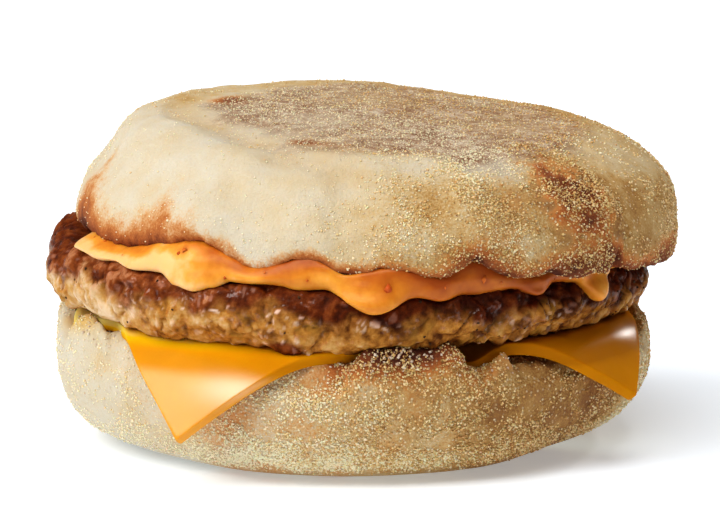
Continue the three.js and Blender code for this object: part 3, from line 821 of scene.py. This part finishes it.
# Pale greasy bits of meat, thickest where the sear meets the tan. They also stand in for glints, so they
# are partly painted highlights.
bit_inside, bit_id = pebbles(warp + 40, 1.3)
bit_odds = around(patty_azimuth, {0: 0.25, 200: 0.4, 225: 0.4, 238: 0.46, 262: 0.42, 275: 0.3, 330: 0.25})
fat_and_glint = ease(4 * bit_inside - 0.9) * (bit_id > 1 - bit_odds)
fat_and_glint *= ease(0.6 + 1.5 * rough(patty_rows + 77, 5, 2))
fat_and_glint *= around(patty_azimuth, {0: 0.4, 180: 0.8, 262: 0.85, 282: 0.45, 330: 0.4})
fat_and_glint *= 0.35 + 3.2 * sear * (1 - sear)
fat_and_glint = np.minimum(fat_and_glint, 0.9)

patty_paint, tree, shader = surface("seared_meat")
tone = sums(tree, "MULTIPLY_ADD", swing(tree, 0.9, 4, 0.65), 0.8, mark(tree, "tone"))
meat = ramp(tree, tone, {
    0.0: (0.12, 0.035, 0.006), 0.2: (0.27, 0.10, 0.016), 0.45: (0.48, 0.21, 0.04),
    0.7: (0.61, 0.345, 0.115), 1.0: (0.75, 0.54, 0.33),
})
meat = blend(tree, between(tree, noise(tree, 4.5, 2), 0.5, 0.68, 0.0, 0.5), meat, (0.40, 0.21, 0.035, 1))
seared = ramp(tree, tone, {
    0.1: (0.04, 0.006, 0.002), 0.45: (0.12, 0.022, 0.004), 0.8: (0.25, 0.065, 0.014),
    1.0: (0.44, 0.18, 0.08),
})
meat = blend(tree, mark(tree, "sear"), meat, seared)
# Painted shade in the creases.
meat = blend(tree, mark(tree, "crease"), meat, (0.06, 0.013, 0.004, 1))
# Pale pink colour of the greasy bits, partly painted highlights.
gristle_and_glint_colour = blend(tree, mark(tree, "sear"), (0.92, 0.74, 0.6, 1), (0.64, 0.34, 0.25, 1))
meat = blend(tree, mark(tree, "fat_and_glint"), meat, gristle_and_glint_colour)
wet = noise(tree, 2.4, 3)
bead = between(tree, noise(tree, 1.0, 2), 0.53, 0.62, 0.03, 1.0)
glint = sums(tree, "MULTIPLY", between(tree, wet, 0.45, 0.6), bead)
finish(shader, {
    "Base Color": meat, "Roughness": between(tree, wet, 0.35, 0.65, 0.55, 0.3),
    "Coat Weight": glint, "Coat Roughness": 0.06, "Coat Tint": (1, 0.88, 0.76, 1),
    "Specular IOR Level": 0.1, "Specular Tint": (1, 0.75, 0.55, 1), "Subsurface Weight": 0.1,
    "Subsurface Radius": (1.0, 0.35, 0.15), "Subsurface Scale": 1.0 * MM,
})
bump(shader, noise(tree, 0.6, 4, 0.65), 0.2)
patty_marks = {"sear": sear, "tone": patty_tone, "crease": crease, "fat_and_glint": fat_and_glint}
patty = shell("seared_patty", patty_rows, patty_marks, patty_paint)
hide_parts("sausage_patty")


# Sauce.
# A thick orange chilli mayonnaise, spread on the patty and squeezed out under the upper half. It
# hangs over the patty's edge in rounded drips and shines.
SAUCE_THICKNESS = 1.1
SAUCE_FILM = 0.5
SAUCE_BULGE = 1.7
CROWN_RADIUS = 49.2
CROWN_CENTRE = (4.2, -0.2)
CROWN_RIM = {
    8: 30.4, 38: 32.2, 72: 33.0, 102: 34.8, 128: 34.2, 160: 35.4, 190: 35.0, 199: 36.1, 206: 36.1,
    216: 34.9, 224: 35.8, 232: 37.3, 239: 38.4, 251.5: 34.3, 262: 36.8, 269: 34.1, 277: 35.2, 286: 33.8,
    292.5: 36.0, 301: 33.2, 308: 33.0, 317: 32.0, 321: 32.3, 323.5: 35.0, 326: 32.2, 335: 31.1,
    350: 30.2,
}
SQUEEZE = {
    5: -1.6, 22: 0.2, 60: 0.4, 78: -0.8, 100: 0.4, 120: -0.6, 140: 0.3, 152: 0, 163: -2.7, 201.5: -2.7,
    205: 0.7, 215: 1.1, 240: 0.9, 250: -0.1, 262: -0.2, 274: 0.5, 286: 0.2, 293: -0.3, 307: 0.1,
    314: -1.0, 321: 0.8, 326: 0.9, 332: -1.4,
}


def crown_radius(azimuth):
    return offset_circle(azimuth, CROWN_RADIUS, CROWN_CENTRE)


def crown_rim(azimuth):
    """Height of the crown's lower rim: over the patty it stays above a thin film of sauce."""
    x = patty_radius(azimuth) * cosine(azimuth)
    past = ease((crown_radius(azimuth) - patty_radius(azimuth)) / 4)
    return np.maximum(around(azimuth, CROWN_RIM), patty_top(x) + 2 * GAP + SAUCE_FILM - 2 * past)


def sauce_shoulder(azimuth):
    """Where the sauce meets the crown's rim: near the edge of whichever of crown and patty ends first."""
    nearer = np.minimum(crown_radius(azimuth) - 1.6, patty_radius(azimuth) - 1.4)
    return nearer + np.minimum(0, around(azimuth, SQUEEZE))


def sauce_top(azimuth, radius):
    """Upper face of the sauce, thicker towards the rim."""
    layer = patty_top(radius * cosine(azimuth)) + GAP + SAUCE_THICKNESS
    outwards = ease((radius - 40) / (sauce_shoulder(azimuth) - 40))
    return mix(layer, np.maximum(crown_rim(azimuth) - GAP, layer - 0.6), outwards)


def held_back(azimuth):
    """Share to which the sauce stops on top of the patty, out of sight under the crown."""
    return ease(-1.6 - around(azimuth, SQUEEZE))


def sauce_share(azimuth):
    """Share of the patty's half thickness at which the sauce's lower edge lies."""
    x = (PATTY_RADIUS - PATTY_EDGE) * cosine(azimuth)
    middle = (patty_base(x) + patty_top(x)) / 2
    return np.minimum(0.97, (around(azimuth, SAUCE_EDGE) - middle) / (patty_top(x) - middle))


def against_patty(azimuth, part):
    """Inner face of the sauce, from the patty's top edge at part 0 to the sauce's own edge at 1."""
    share = mix(1, sauce_share(azimuth), part ** 1.5)
    radius, height = patty_side(azimuth, share) - 0.6, patty_height(azimuth, share) - 0.3
    inner = np.minimum(radius, sauce_shoulder(azimuth) - 0.8 + 0.4 * part)
    flat = patty_top(inner * cosine(azimuth)) + GAP / 2
    held = held_back(azimuth)
    return spot(azimuth, mix(radius, inner, held), mix(height, flat, held))


def sauce_bead(azimuth, turn):
    """Outer face: a rounded bead from the crown's rim down to the sauce's edge."""
    x = (PATTY_RADIUS - PATTY_EDGE) * cosine(azimuth)
    held = held_back(azimuth)
    low = mix(patty_height(azimuth, sauce_share(azimuth)) - 0.1, patty_top(x) + GAP, held)
    high = sauce_top(azimuth, sauce_shoulder(azimuth)) + GAP + 0.75
    height = (low + high) / 2 + (high - low) / 2 * sine(turn)
    middle = (patty_base(x) + patty_top(x)) / 2
    share = np.clip((height - middle) / (patty_top(x) - middle), -0.9, 0.999)
    shoulder = sauce_shoulder(azimuth)
    brow = mix(middle, patty_top(x), 0.96)
    rise = np.maximum(held, ease((height - brow) / np.maximum(0.1, high - brow)))
    beside = mix(patty_side(azimuth, np.minimum(share, 0.96)) + 0.7, shoulder, rise)
    thick = SAUCE_BULGE * (1 + around(azimuth, SQUEEZE) / 4)
    return spot(azimuth, np.maximum(beside, shoulder) + thick * cosine(turn) ** 0.8, height)


rings = [spot(AZIMUTHS, r, patty_top(r * cosine(AZIMUTHS)) + GAP / 2) for r in (8, 34)]
rings += [against_patty(AZIMUTHS, part) for part in (0, 0.35, 0.7, 1)]
rings += [sauce_bead(AZIMUTHS, turn) for turn in (-80, -62, -44, -25, -5, 20, 40, 60, 78)]
sauce_edge = sauce_shoulder(AZIMUTHS)
rings += [spot(AZIMUTHS, sauce_edge, sauce_top(AZIMUTHS, sauce_edge) + GAP)]
rings += [spot(AZIMUTHS, r, sauce_top(AZIMUTHS, r)) for r in (40, 34, 8)]
sauce_rows = refine(rings, spacing=0.34, coarse={0, 1, -1, -2, -3}, passes=4)
sauce_out = ease((np.hypot(sauce_rows[..., 0], sauce_rows[..., 1]) - 42) / 3)
relief = 0.35 * rough(sauce_rows, 6, 2, 0.35) * sauce_out
relief += 0.3 * rough(sauce_rows * [0.45, 0.45, 1.5] + 20, 3, 2, 0.4) * sauce_out
sauce_rows = raised(sauce_rows, relief)
sauce_azimuth = bearing(sauce_rows)
sauce_low, sauce_high = around(sauce_azimuth, SAUCE_EDGE), crown_rim(sauce_azimuth)
level = np.clip((sauce_rows[..., 2] - sauce_low) / np.maximum(1, sauce_high - sauce_low), 0, 1)
# Painted shade: the sauce goes redder and darker towards the right, under the crown's overhang.
redness_and_painted_light = around(sauce_azimuth, {
    20: 0.6, 120: 0.3, 200: 0.06, 232: 0.12, 245: 0.34, 262: 0.49, 275: 0.49, 286: 0.85, 312: 0.9,
    318: 0.56, 325: 0.36,
})
# Painted shade: redder towards the crown's rim above it, and paler lower down where the light falls on it.
redness_and_painted_light += 0.28 * ease((level - 0.55) / 0.4) * ease(0.5 + 1.3 * rough(sauce_rows, 6, 2))
redness_and_painted_light -= 0.1 * (1 - level)
# Painted highlights: paler cream patches where the drips catch the light. Painted shade: a redder spot up
# under the rim.
redness_and_painted_light += patches(sauce_rows, [
    (-0.25, 233, 34.5, 4, 2.4), (-0.2, 265.5, 34.2, 2.5, 1.8), (-0.12, 275, 31, 4, 2),
    (0.42, 258.5, 36, 3.5, 1.6),
])
chilli_flecks = np.array([
    (208, 36, 0.8), (211.7, 36.3, 1.2), (235.8, 36.5, 1.0), (237, 37, 1.5), (221, 35, 0.6),
    (262, 33.9, 0.9), (254, 34.6, 0.7), (276.4, 32.8, 2.4), (287, 32.5, 0.9), (295, 33, 1.5),
    (298.5, 32.6, 0.8), (246, 33.4, 0.8), (312, 31.8, 1.0), (120, 33.5, 1.1), (40, 30, 1.2),
    (75, 32, 0.9), (98, 31, 1.3), (146, 31, 1.0),
])
for turn, height, size in chilli_flecks:
    redness_and_painted_light += 0.16 * size * patch(sauce_rows, turn, height, 0.45 * size, 0.6 * size)

sauce_paint, tree, shader = surface("chilli_sauce")
# Low values give pale cream, used for painted highlights; high values give dark red, used for painted
# shade.
tint = sums(tree, "MULTIPLY_ADD", swing(tree, 3.5, 3), 0.9, mark(tree, "redness_and_painted_light"))
sauce_tone = ramp(tree, tint, {
    0.0: (0.90, 0.53, 0.21), 0.22: (0.84, 0.36, 0.045), 0.45: (0.70, 0.235, 0.02),
    0.7: (0.55, 0.145, 0.011), 1.0: (0.40, 0.08, 0.01),
})
finish(shader, {
    "Base Color": sauce_tone, "Roughness": between(tree, noise(tree, 2, 3), 0.3, 0.7, 0.38, 0.5),
    "Subsurface Weight": 0.3, "Subsurface Radius": (1.0, 0.4, 0.1), "Subsurface Scale": 1.5 * MM,
    "Specular IOR Level": 0.3, "Specular Tint": (1, 0.8, 0.5, 1), "Coat Weight": 0.24,
    "Coat Roughness": 0.3,
})
bump(shader, noise(tree, 1.0, 3), 0.04)
sauce = shell("chilli_sauce", sauce_rows, {"redness_and_painted_light": redness_and_painted_light}, sauce_paint)
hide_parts("sauce")


# Upper half of the muffin.
# The other half of the same bread: a leaning plateau where it was griddled, swollen sides with
# toasted blisters, and a wavy torn rim that was toasted brown.
CROWN_PLATEAU = 52.2
CROWN_LEAN = (-0.04, 0.03)
CROWN_DOME = 0.8
CROWN_LEFT = {0: 0.7, 0.08: 0, 0.21: 0.3, 0.40: 1.4, 0.50: 3.2, 0.64: 5.6, 0.79: 7.0, 0.91: 9.4, 1: 13.6}
CROWN_RIGHT = {
    0: 0.9, 0.10: 0.1, 0.25: 0, 0.38: 0.3, 0.56: 1.7, 0.69: 3.7, 0.81: 6.8, 0.91: 10.6, 1: 15.2,
}
CROWN_SHOULDER = {5: 0.6, 62: -0.9, 110: 0.3, 140: 0.2, 176: 1.0, 225: 0, 300: 0}


def plateau(x, y):
    """Height of the upper face: a leaning plane with a slight dome and an uneven edge."""
    dx, dy = x - CROWN_CENTRE[0], y - CROWN_CENTRE[1]
    out = 2 * (np.hypot(dx, dy) / CROWN_RADIUS) ** 2
    uneven = around(np.degrees(np.arctan2(dy, dx)), CROWN_SHOULDER) * out
    return CROWN_PLATEAU + CROWN_LEAN[0] * x + CROWN_LEAN[1] * y + CROWN_DOME * (1 - out) + uneven


def crown_side(azimuth, share):
    """Point of the side at a fraction of the way up, from the lower rim to the plateau's edge."""
    right = (1 + cosine(azimuth)) / 2
    left_in = np.interp(share, list(CROWN_LEFT), list(CROWN_LEFT.values()))
    right_in = np.interp(share, list(CROWN_RIGHT), list(CROWN_RIGHT.values()))
    edge = crown_radius(azimuth) - mix(CROWN_LEFT[1], CROWN_RIGHT[1], right)
    top = plateau(edge * cosine(azimuth), edge * sine(azimuth))
    height = mix(crown_rim(azimuth), top, share)
    swell = 0.7 * lumps(spot(azimuth, CROWN_RADIUS, height), 15) * np.sin(np.pi * np.sqrt(share))
    return spot(azimuth, crown_radius(azimuth) - mix(left_in, right_in, right) + swell, height)


def crown_face(azimuth, radius):
    """Point of the upper face at a radius about the crown's own centre."""
    x = CROWN_CENTRE[0] + radius * cosine(azimuth)
    y = CROWN_CENTRE[1] + radius * sine(azimuth)
    return np.stack([x, y, plateau(x, y)], -1)


def crown_under(azimuth, radius):
    return spot(azimuth, radius, sauce_top(azimuth, radius) + GAP / 2)


inner = np.minimum(sauce_shoulder(AZIMUTHS), crown_radius(AZIMUTHS) - 2.4) - 0.5
rings = [crown_under(AZIMUTHS, radius) for radius in (8, 34, 40)]
rings += [spot(AZIMUTHS, inner, crown_rim(AZIMUTHS) + 0.1)]
rings += [crown_side(AZIMUTHS, share) for share in np.linspace(0, 1, 29) ** 1.15]
rings += [crown_face(AZIMUTHS, radius) for radius in (30, 24, 10, 2)]
crown_rows = refine(rings, spacing=0.42, coarse={0, 1, 2, -1, -2}, passes=4)
crown_azimuth = bearing(crown_rows, CROWN_CENTRE)
crown_out = np.hypot(crown_rows[..., 0] - CROWN_CENTRE[0], crown_rows[..., 1] - CROWN_CENTRE[1])
crown_above = crown_rows[..., 2] - crown_rim(bearing(crown_rows))
crown_seen = ease((crown_above + 0.6) / 1.2)


def crown_patches(*spots):
    return patches(crown_rows, spots, CROWN_CENTRE)


def face_patch(azimuth, radius, wide, deep):
    """1 in the middle of a spot on the upper face, fading to 0 round the plateau and across it."""
    away = (crown_azimuth - azimuth + 180) % TURN - 180
    spread = (np.radians(away) * radius / wide) ** 2 + ((crown_out - radius) / deep) ** 2
    return np.exp(-spread) * ease((crown_above - 11) / 3)


scorch = crown_patches((1.35, 311.5, 44.6, 7, 5.6), (0.5, 318, 38.5, 4, 5))
scorch = ease(scorch + 0.25 * rough(crown_rows, 3, 3) - 0.13)
relief = 0.3 * rough(crown_rows, 11, 2) + 0.17 * rough(crown_rows + 40, 3.4, 2)
relief += 0.045 * rough(crown_rows, 1, 2) + scorch * (0.5 + 0.3 * rough(crown_rows, 1.8, 3))
relief += 0.35 * rough(crown_rows, 2.2, 3) * ease((3.0 - crown_above) / 3)
relief += crown_patches(
    (-1.1, 323, 35.5, 0.8, 4), (-0.3, 198.5, 38, 1.2, 4), (0.6, 206, 38, 5, 5), (0.5, 229, 41, 7, 5),
)
groove = around(crown_azimuth, {165: 36, 182: 34.5, 208: 29.5, 235: 32, 250: 38, 262: 41})
groove_depth = around(crown_azimuth, {150: 0, 182: 0.7, 205: 1.0, 240: 1.1, 256: 0.6, 272: 0})
relief -= groove_depth * bell((crown_out - groove) / 3.6) * ease((crown_above - 10) / 4)
relief += 0.4 * groove_depth * bell((crown_out - groove - 7) / 4.2) * ease((crown_above - 8) / 4)
crown_rows = raised(crown_rows, relief * crown_seen)
crown_rows[..., 2] += 0.45 * rough(crown_rows, 1.9, 3) * ease(1 - abs(crown_above - 0.4) / 1.6)

griddle_edge = around(crown_azimuth, {
    20: 32, 76: 31, 118: 29, 152: 25, 182: 26.5, 208: 26, 235: 27, 250: 32, 262: 31.5, 275: 32,
    292: 36.5, 310: 36, 345: 34,
})
griddle_and_groove_shade = ease((griddle_edge + 2.5 * rough(crown_rows, 7, 3) - crown_out) / 6 + 0.5)
griddle_and_groove_shade *= ease((crown_above - 12) / 3) * (0.85 + 0.25 * rough(crown_rows, 12, 2))
griddle_and_groove_shade += crown_patches((0.5, 299, 50.5, 9, 3))
# Painted shade: griddled grey-brown laid along the groove below the plateau, deepest where the groove is.
griddle_and_groove_shade += 0.24 * groove_depth * bell((crown_out - groove + 1) / 3)
griddle_and_groove_shade = np.minimum(1, griddle_and_groove_shade)
bake_and_groove_shade = around(crown_azimuth, {
    0: 0.5, 60: 0.4, 140: 0.25, 190: 0.12, 240: 0.12, 258: 0.2, 272: 0.28, 290: 0.39, 310: 0.47,
    330: 0.54,
})
brim = around(crown_azimuth, {30: 0.1, 190: 0.1, 203: 0.02, 248: 0.02, 264: 0.1})
bake_and_groove_shade += brim * ease((crown_out - 27) / 3) * ease((36 - crown_out) / 3)
bake_and_groove_shade += 0.05 * rough(crown_rows, 9, 3)
bake_and_groove_shade += 0.15 * face_patch(167, 33, 7, 4)
bake_and_groove_shade += crown_patches(
    (0.12, 280, 45, 5, 4), (0.2, 296, 44.5, 4, 4), (0.38, 313, 45, 8.5, 7), (-0.5, 301, 51, 11, 3),
    (-0.04, 294, 38.5, 8, 4), (0.14, 318, 38, 5, 4), (0.2, 285, 37, 4, 2.4),
)
bake_and_groove_shade -= 0.03 + ease((crown_above - 12) / 4) * around(crown_azimuth, {
    30: 0, 262: 0, 277: 0.17, 335: 0.17,
})
# Blisters bake darker where scorched; the groove term is painted shade along the trough.
bake_and_groove_shade += 0.36 * scorch + 0.05 * groove_depth * bell((crown_out - groove + 1) / 2.5)
rim_reach = around(crown_azimuth, {
    0: 5, 60: 5, 150: 6, 188: 10, 195: 16, 200: 13, 208: 8.5, 215: 7.5, 221: 9.5, 226: 12, 231: 8,
    237: 4.2, 250: 3.2, 262: 3.6, 275: 3.2, 283: 5.5, 288: 6, 291: 3.5, 298: 4.5, 308: 6.5, 318: 6,
    322: 4, 332: 6, 349: 6,
})
rim_glow = np.clip(1 - crown_above / np.maximum(0.5, rim_reach + 1.5 * rough(crown_rows, 2.6, 3)), 0, 1)
bake_and_groove_shade += rim_glow * around(crown_azimuth, {30: 0.3, 150: 0, 262: 0, 277: 0.38, 335: 0.34})
toast = rim_glow * around(crown_azimuth, {
    30: 0.3, 186: 0.46, 195: 0.74, 225: 0.76, 236: 0.52, 268: 0.5, 280: 0.34, 320: 0.36, 345: 0.44,
})
toast *= 1 + 0.2 * rough(crown_rows, 1.2, 2)
singe = around(crown_azimuth, {30: 0.3, 190: 0.1, 235: 0.12, 272: 0.28, 284: 0.37, 335: 0.36})
toast += singe * np.exp(-np.maximum(crown_above, 0) / 1.2)
toast += 0.86 * scorch ** 1.3 * (0.9 + 0.3 * rough(crown_rows, 2.2, 2))
toast += crown_patches(
    (0.26, 285, 37, 3.4, 2), (0.28, 264, 34.5, 4, 1.5), (0.6, 312, 34.6, 8, 2.8), (0.15, 196, 38, 4, 5),
    (0.14, 293, 38.5, 6, 4), (0.12, 288, 46, 3, 3), (0.14, 298, 45.5, 2.6, 3), (0.42, 345, 33.4, 9, 3.2),
    (0.2, 294, 39.5, 7, 5),
)
toast += 0.5 * face_patch(245.4, 28.3, 3.2, 2.8) + 0.34 * face_patch(260, 29.3, 7, 1.9)
toast = np.minimum(toast + 0.8 * face_patch(166, 25, 5, 3.4) - 0.07, 0.95)
crown_sand = around(crown_azimuth, {
    0: 0.4, 90: 0.3, 150: 0.15, 200: 0.03, 250: 0.05, 262: 0.14, 276: 0.6, 290: 1, 312: 1.1, 320: 1.0,
    326: 0.35, 345: 0.35,
})
# On the crown the "bake" and "griddle" marks also carry the painted shade in the groove.
crown_marks = {"bake": bake_and_groove_shade, "toast": toast, "griddle": griddle_and_groove_shade,
               "sand": np.maximum(crown_sand, 0.7 * griddle_and_groove_shade)}
crown = shell("crown_crust", crown_rows, crown_marks, crust_material("crown_crust"))
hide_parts("muffin_crown")


# Cornmeal.
# Grains of yellow cornmeal, 0.2 to 0.8 mm, that the dough picked up before it was griddled. They
# are half sunk in the crust, thick round the heel's foot and on the right of the crown.
MEAL_SUNK = 0.38


def scatter(rows, density, count, seed):
    """Random places on a grid of points, its cells drawn by their area times a density.

    Returns the places, the normals there and the numbers of the cells.
    """
    rng = np.random.default_rng(seed)
    right, up = np.roll(rows, -1, 1)[:-1], rows[1:]
    area = np.linalg.norm(np.cross(right - rows[:-1], up - rows[:-1]), axis=-1)
    odds = (area * np.maximum(0, density[:-1])).ravel()
    cell = rng.choice(odds.size, count, p=odds / odds.sum())
    row, column = np.divmod(cell, rows.shape[1])
    u, v = rng.random((2, count, 1))
    beside = (column + 1) % rows.shape[1]
    low = mix(rows[row, column], rows[row, beside], u)
    high = mix(rows[row + 1, column], rows[row + 1, beside], u)
    return mix(low, high, v), outward(rows)[row, column], cell


def grains(name, places, normals, sizes, material, sunk, seed, flat=1.0, pale=0.0):
    """Eight-sided grains of those sizes at the places, turned at random and sunk by a share.

    Flat is their thickness across the surface as a share of what it would be. Pale adds to the
    random tone of each grain.
    """
    rng = np.random.default_rng(seed)
    count = len(places)
    tips = np.concatenate([np.eye(3), -np.eye(3)])[None] * rng.uniform(0.55, 1.3, (count, 6, 1))
    turn = np.linalg.qr(rng.normal(size=(count, 3, 3)))[0]
    points = (tips * sizes[:, None, None] / 2) @ turn
    points = points - (1 - flat) * (points @ normals[:, :, None]) * normals[:, None]
    points = points + (places + normals * (sizes * flat * (0.5 - sunk))[:, None])[:, None]
    upper = [(0, 1, 2), (1, 3, 2), (3, 4, 2), (4, 0, 2)]
    lower = [(1, 0, 5), (3, 1, 5), (4, 3, 5), (0, 4, 5)]
    corners = np.array(upper + lower) + 6 * np.arange(count)[:, None, None]
    left = np.linalg.det(turn) < 0
    corners[left] = corners[left][..., ::-1]
    tone = np.repeat(np.clip(rng.random(count) + pale, 0, 1), 6)
    sides = np.full(8 * count, 3)
    return put(name, points.reshape(-1, 3), corners.ravel(), sides, {"tone": tone}, material)


def meal(name, rows, density, bake, count, sizes, seed):
    """Cornmeal on a crust: small grains more often than large, and pale where it is little baked."""
    places, normals, cell = scatter(rows, density, count, seed)
    drawn = mix(*sizes, np.random.default_rng(seed + 1).random(count) ** 1.7)
    pale = 0.8 - 1.9 * np.clip(bake, 0, 0.5)[:-1].ravel()[cell]
    piece = grains(name, places, normals, drawn, meal_paint, MEAL_SUNK, seed + 2, pale=pale)


meal_paint, tree, shader = surface("cornmeal")
meal_tone = ramp(tree, mark(tree, "tone"), {
    0.0: (0.42, 0.22, 0.06), 0.3: (0.68, 0.42, 0.15), 0.65: (0.88, 0.65, 0.32), 1.0: (0.97, 0.85, 0.6),
})
finish(shader, {
    "Base Color": meal_tone, "Roughness": between(tree, mark(tree, "tone"), 0.2, 0.9, 0.6, 0.4),
    "Subsurface Weight": 0.2, "Subsurface Scale": 0.4 * MM,
})
bump(shader, noise(tree, 0.3, 2), 0.02)

heel_foot = ease((9 - heel_rows[..., 2]) / 6)
heel_open = heel_seen * heel_sand * (heel_out > 33)
heel_open *= np.maximum(0.06, 0.4 + 1.0 * rough(heel_rows, 4, 3) + 0.9 * heel_foot)
heel_open *= 1 - 0.35 * patch(heel_rows, 280, 21.5, 9, 3)
meal("heel_meal_fine", heel_rows, heel_open, heel_bake - 0.12 * heel_foot, 24000, (0.22, 0.48), seed=11)
heel_open *= around(heel_azimuth, {30: 0.5, 225: 0.2, 250: 1.2, 335: 1.2}) * (0.8 + 0.4 * heel_foot)
meal("heel_meal_coarse", heel_rows, heel_open, heel_bake - 0.16 * heel_foot, 11000, (0.36, 0.64), seed=21)
crown_open = crown_seen * crown_sand * (crown_out > 30) * (0.25 + 0.75 * ease(crown_above / 3))
crown_open *= np.maximum(0.06, 0.5 + 0.9 * rough(crown_rows, 5, 3) - 0.45 * scorch)
crown_open *= 1 - 0.7 * ease((crown_above - 12.5) / 3)
meal("crown_meal_fine", crown_rows, crown_open, bake_and_groove_shade, 15000, (0.18, 0.42), seed=31)
crown_open *= around(crown_azimuth, {30: 0.3, 180: 0.15, 262: 0.15, 277: 1.15, 335: 1.15})
meal("crown_meal_coarse", crown_rows, crown_open, bake_and_groove_shade, 3600, (0.32, 0.6), seed=41)
meal("griddle_meal", crown_rows, griddle_and_groove_shade, bake_and_groove_shade, 6500, (0.18, 0.4), seed=51)


# Crumbs, chilli flecks and pepper.
# Torn bread crumbs cling to the heel's rim, flat flecks of red chilli float in the sauce, and
# cracked pepper was ground into the meat.
CRUMBS = 240
PEPPER_SPECKS = 170


def nearest(rows, places):
    """Points of a grid and their normals, nearest to (azimuth, height) places on its outer side."""
    azimuth, radius, height = bearing(rows), np.hypot(rows[..., 0], rows[..., 1]), rows[..., 2]
    found = []
    for turn, level in places:
        away = 0.85 * abs((azimuth - turn + 180) % TURN - 180) + abs(height - level) - 0.4 * radius
        found.append(np.unravel_index(np.argmin(away), away.shape))
    found = tuple(np.array(found).T)
    return rows[found], outward(rows)[found]


def grain_paint(name, dark, pale, sockets, size):
    """Paint with a tone for each grain between two colours, and bumps of that size."""
    material, tree, shader = surface(name)
    tone = ramp(tree, mark(tree, "tone"), {0.0: dark, 1.0: pale})
    finish(shader, {"Base Color": tone, **sockets})
    bump(shader, noise(tree, size, 3), 0.05)
    return material


def bits(name, rows, density, count, sizes, material, sunk, seed, flat=1.0):
    """Grains of any size between two, strewn on a piece."""
    places, normals, _ = scatter(rows, density, count, seed)
    drawn = np.random.default_rng(seed + 1).uniform(*sizes, count)
    return grains(name, places, normals, drawn, material, sunk, seed + 2, flat)


crumb_paint = grain_paint("bread_crumb", (0.48, 0.30, 0.19), (0.86, 0.74, 0.60), {"Roughness": 0.6}, 0.3)
crumb_odds = heel_crest * patches(heel_rows, [(1, 281, 21, 9, 3), (1, 299, 19, 3, 3), (0.4, 207, 22, 6, 3)])
crumbs = bits("rim_crumbs", heel_rows, crumb_odds, CRUMBS, (0.25, 0.65), crumb_paint, sunk=0.3, seed=61)

chilli_finish = {"Roughness": 0.45, "Specular IOR Level": 0.2}
chilli_paint = grain_paint("chilli_fleck", (0.56, 0.09, 0.015), (0.70, 0.18, 0.025), chilli_finish, 0.4)
places, normals = nearest(sauce_rows, chilli_flecks[:, :2])
fleck_sizes = 0.8 * chilli_flecks[:, 2]
chilli = grains("chilli_flecks", places, normals, fleck_sizes, chilli_paint, sunk=0.5, seed=72, flat=0.3)

pepper_finish = {"Roughness": 0.6, "Specular IOR Level": 0.15}
pepper_paint = grain_paint("cracked_pepper", (0.03, 0.014, 0.006), (0.10, 0.045, 0.018), pepper_finish, 0.3)
pepper_odds = around(patty_azimuth, {0: 0.3, 200: 0.25, 225: 0.12, 280: 0.15, 290: 0.7, 340: 0.7})
pepper_odds *= patty_seen * (patty_level > 0.05)
pepper = bits("pepper_specks", patty_rows, pepper_odds, PEPPER_SPECKS, (0.25, 0.75), pepper_paint,
              sunk=0.4, seed=81, flat=0.6)
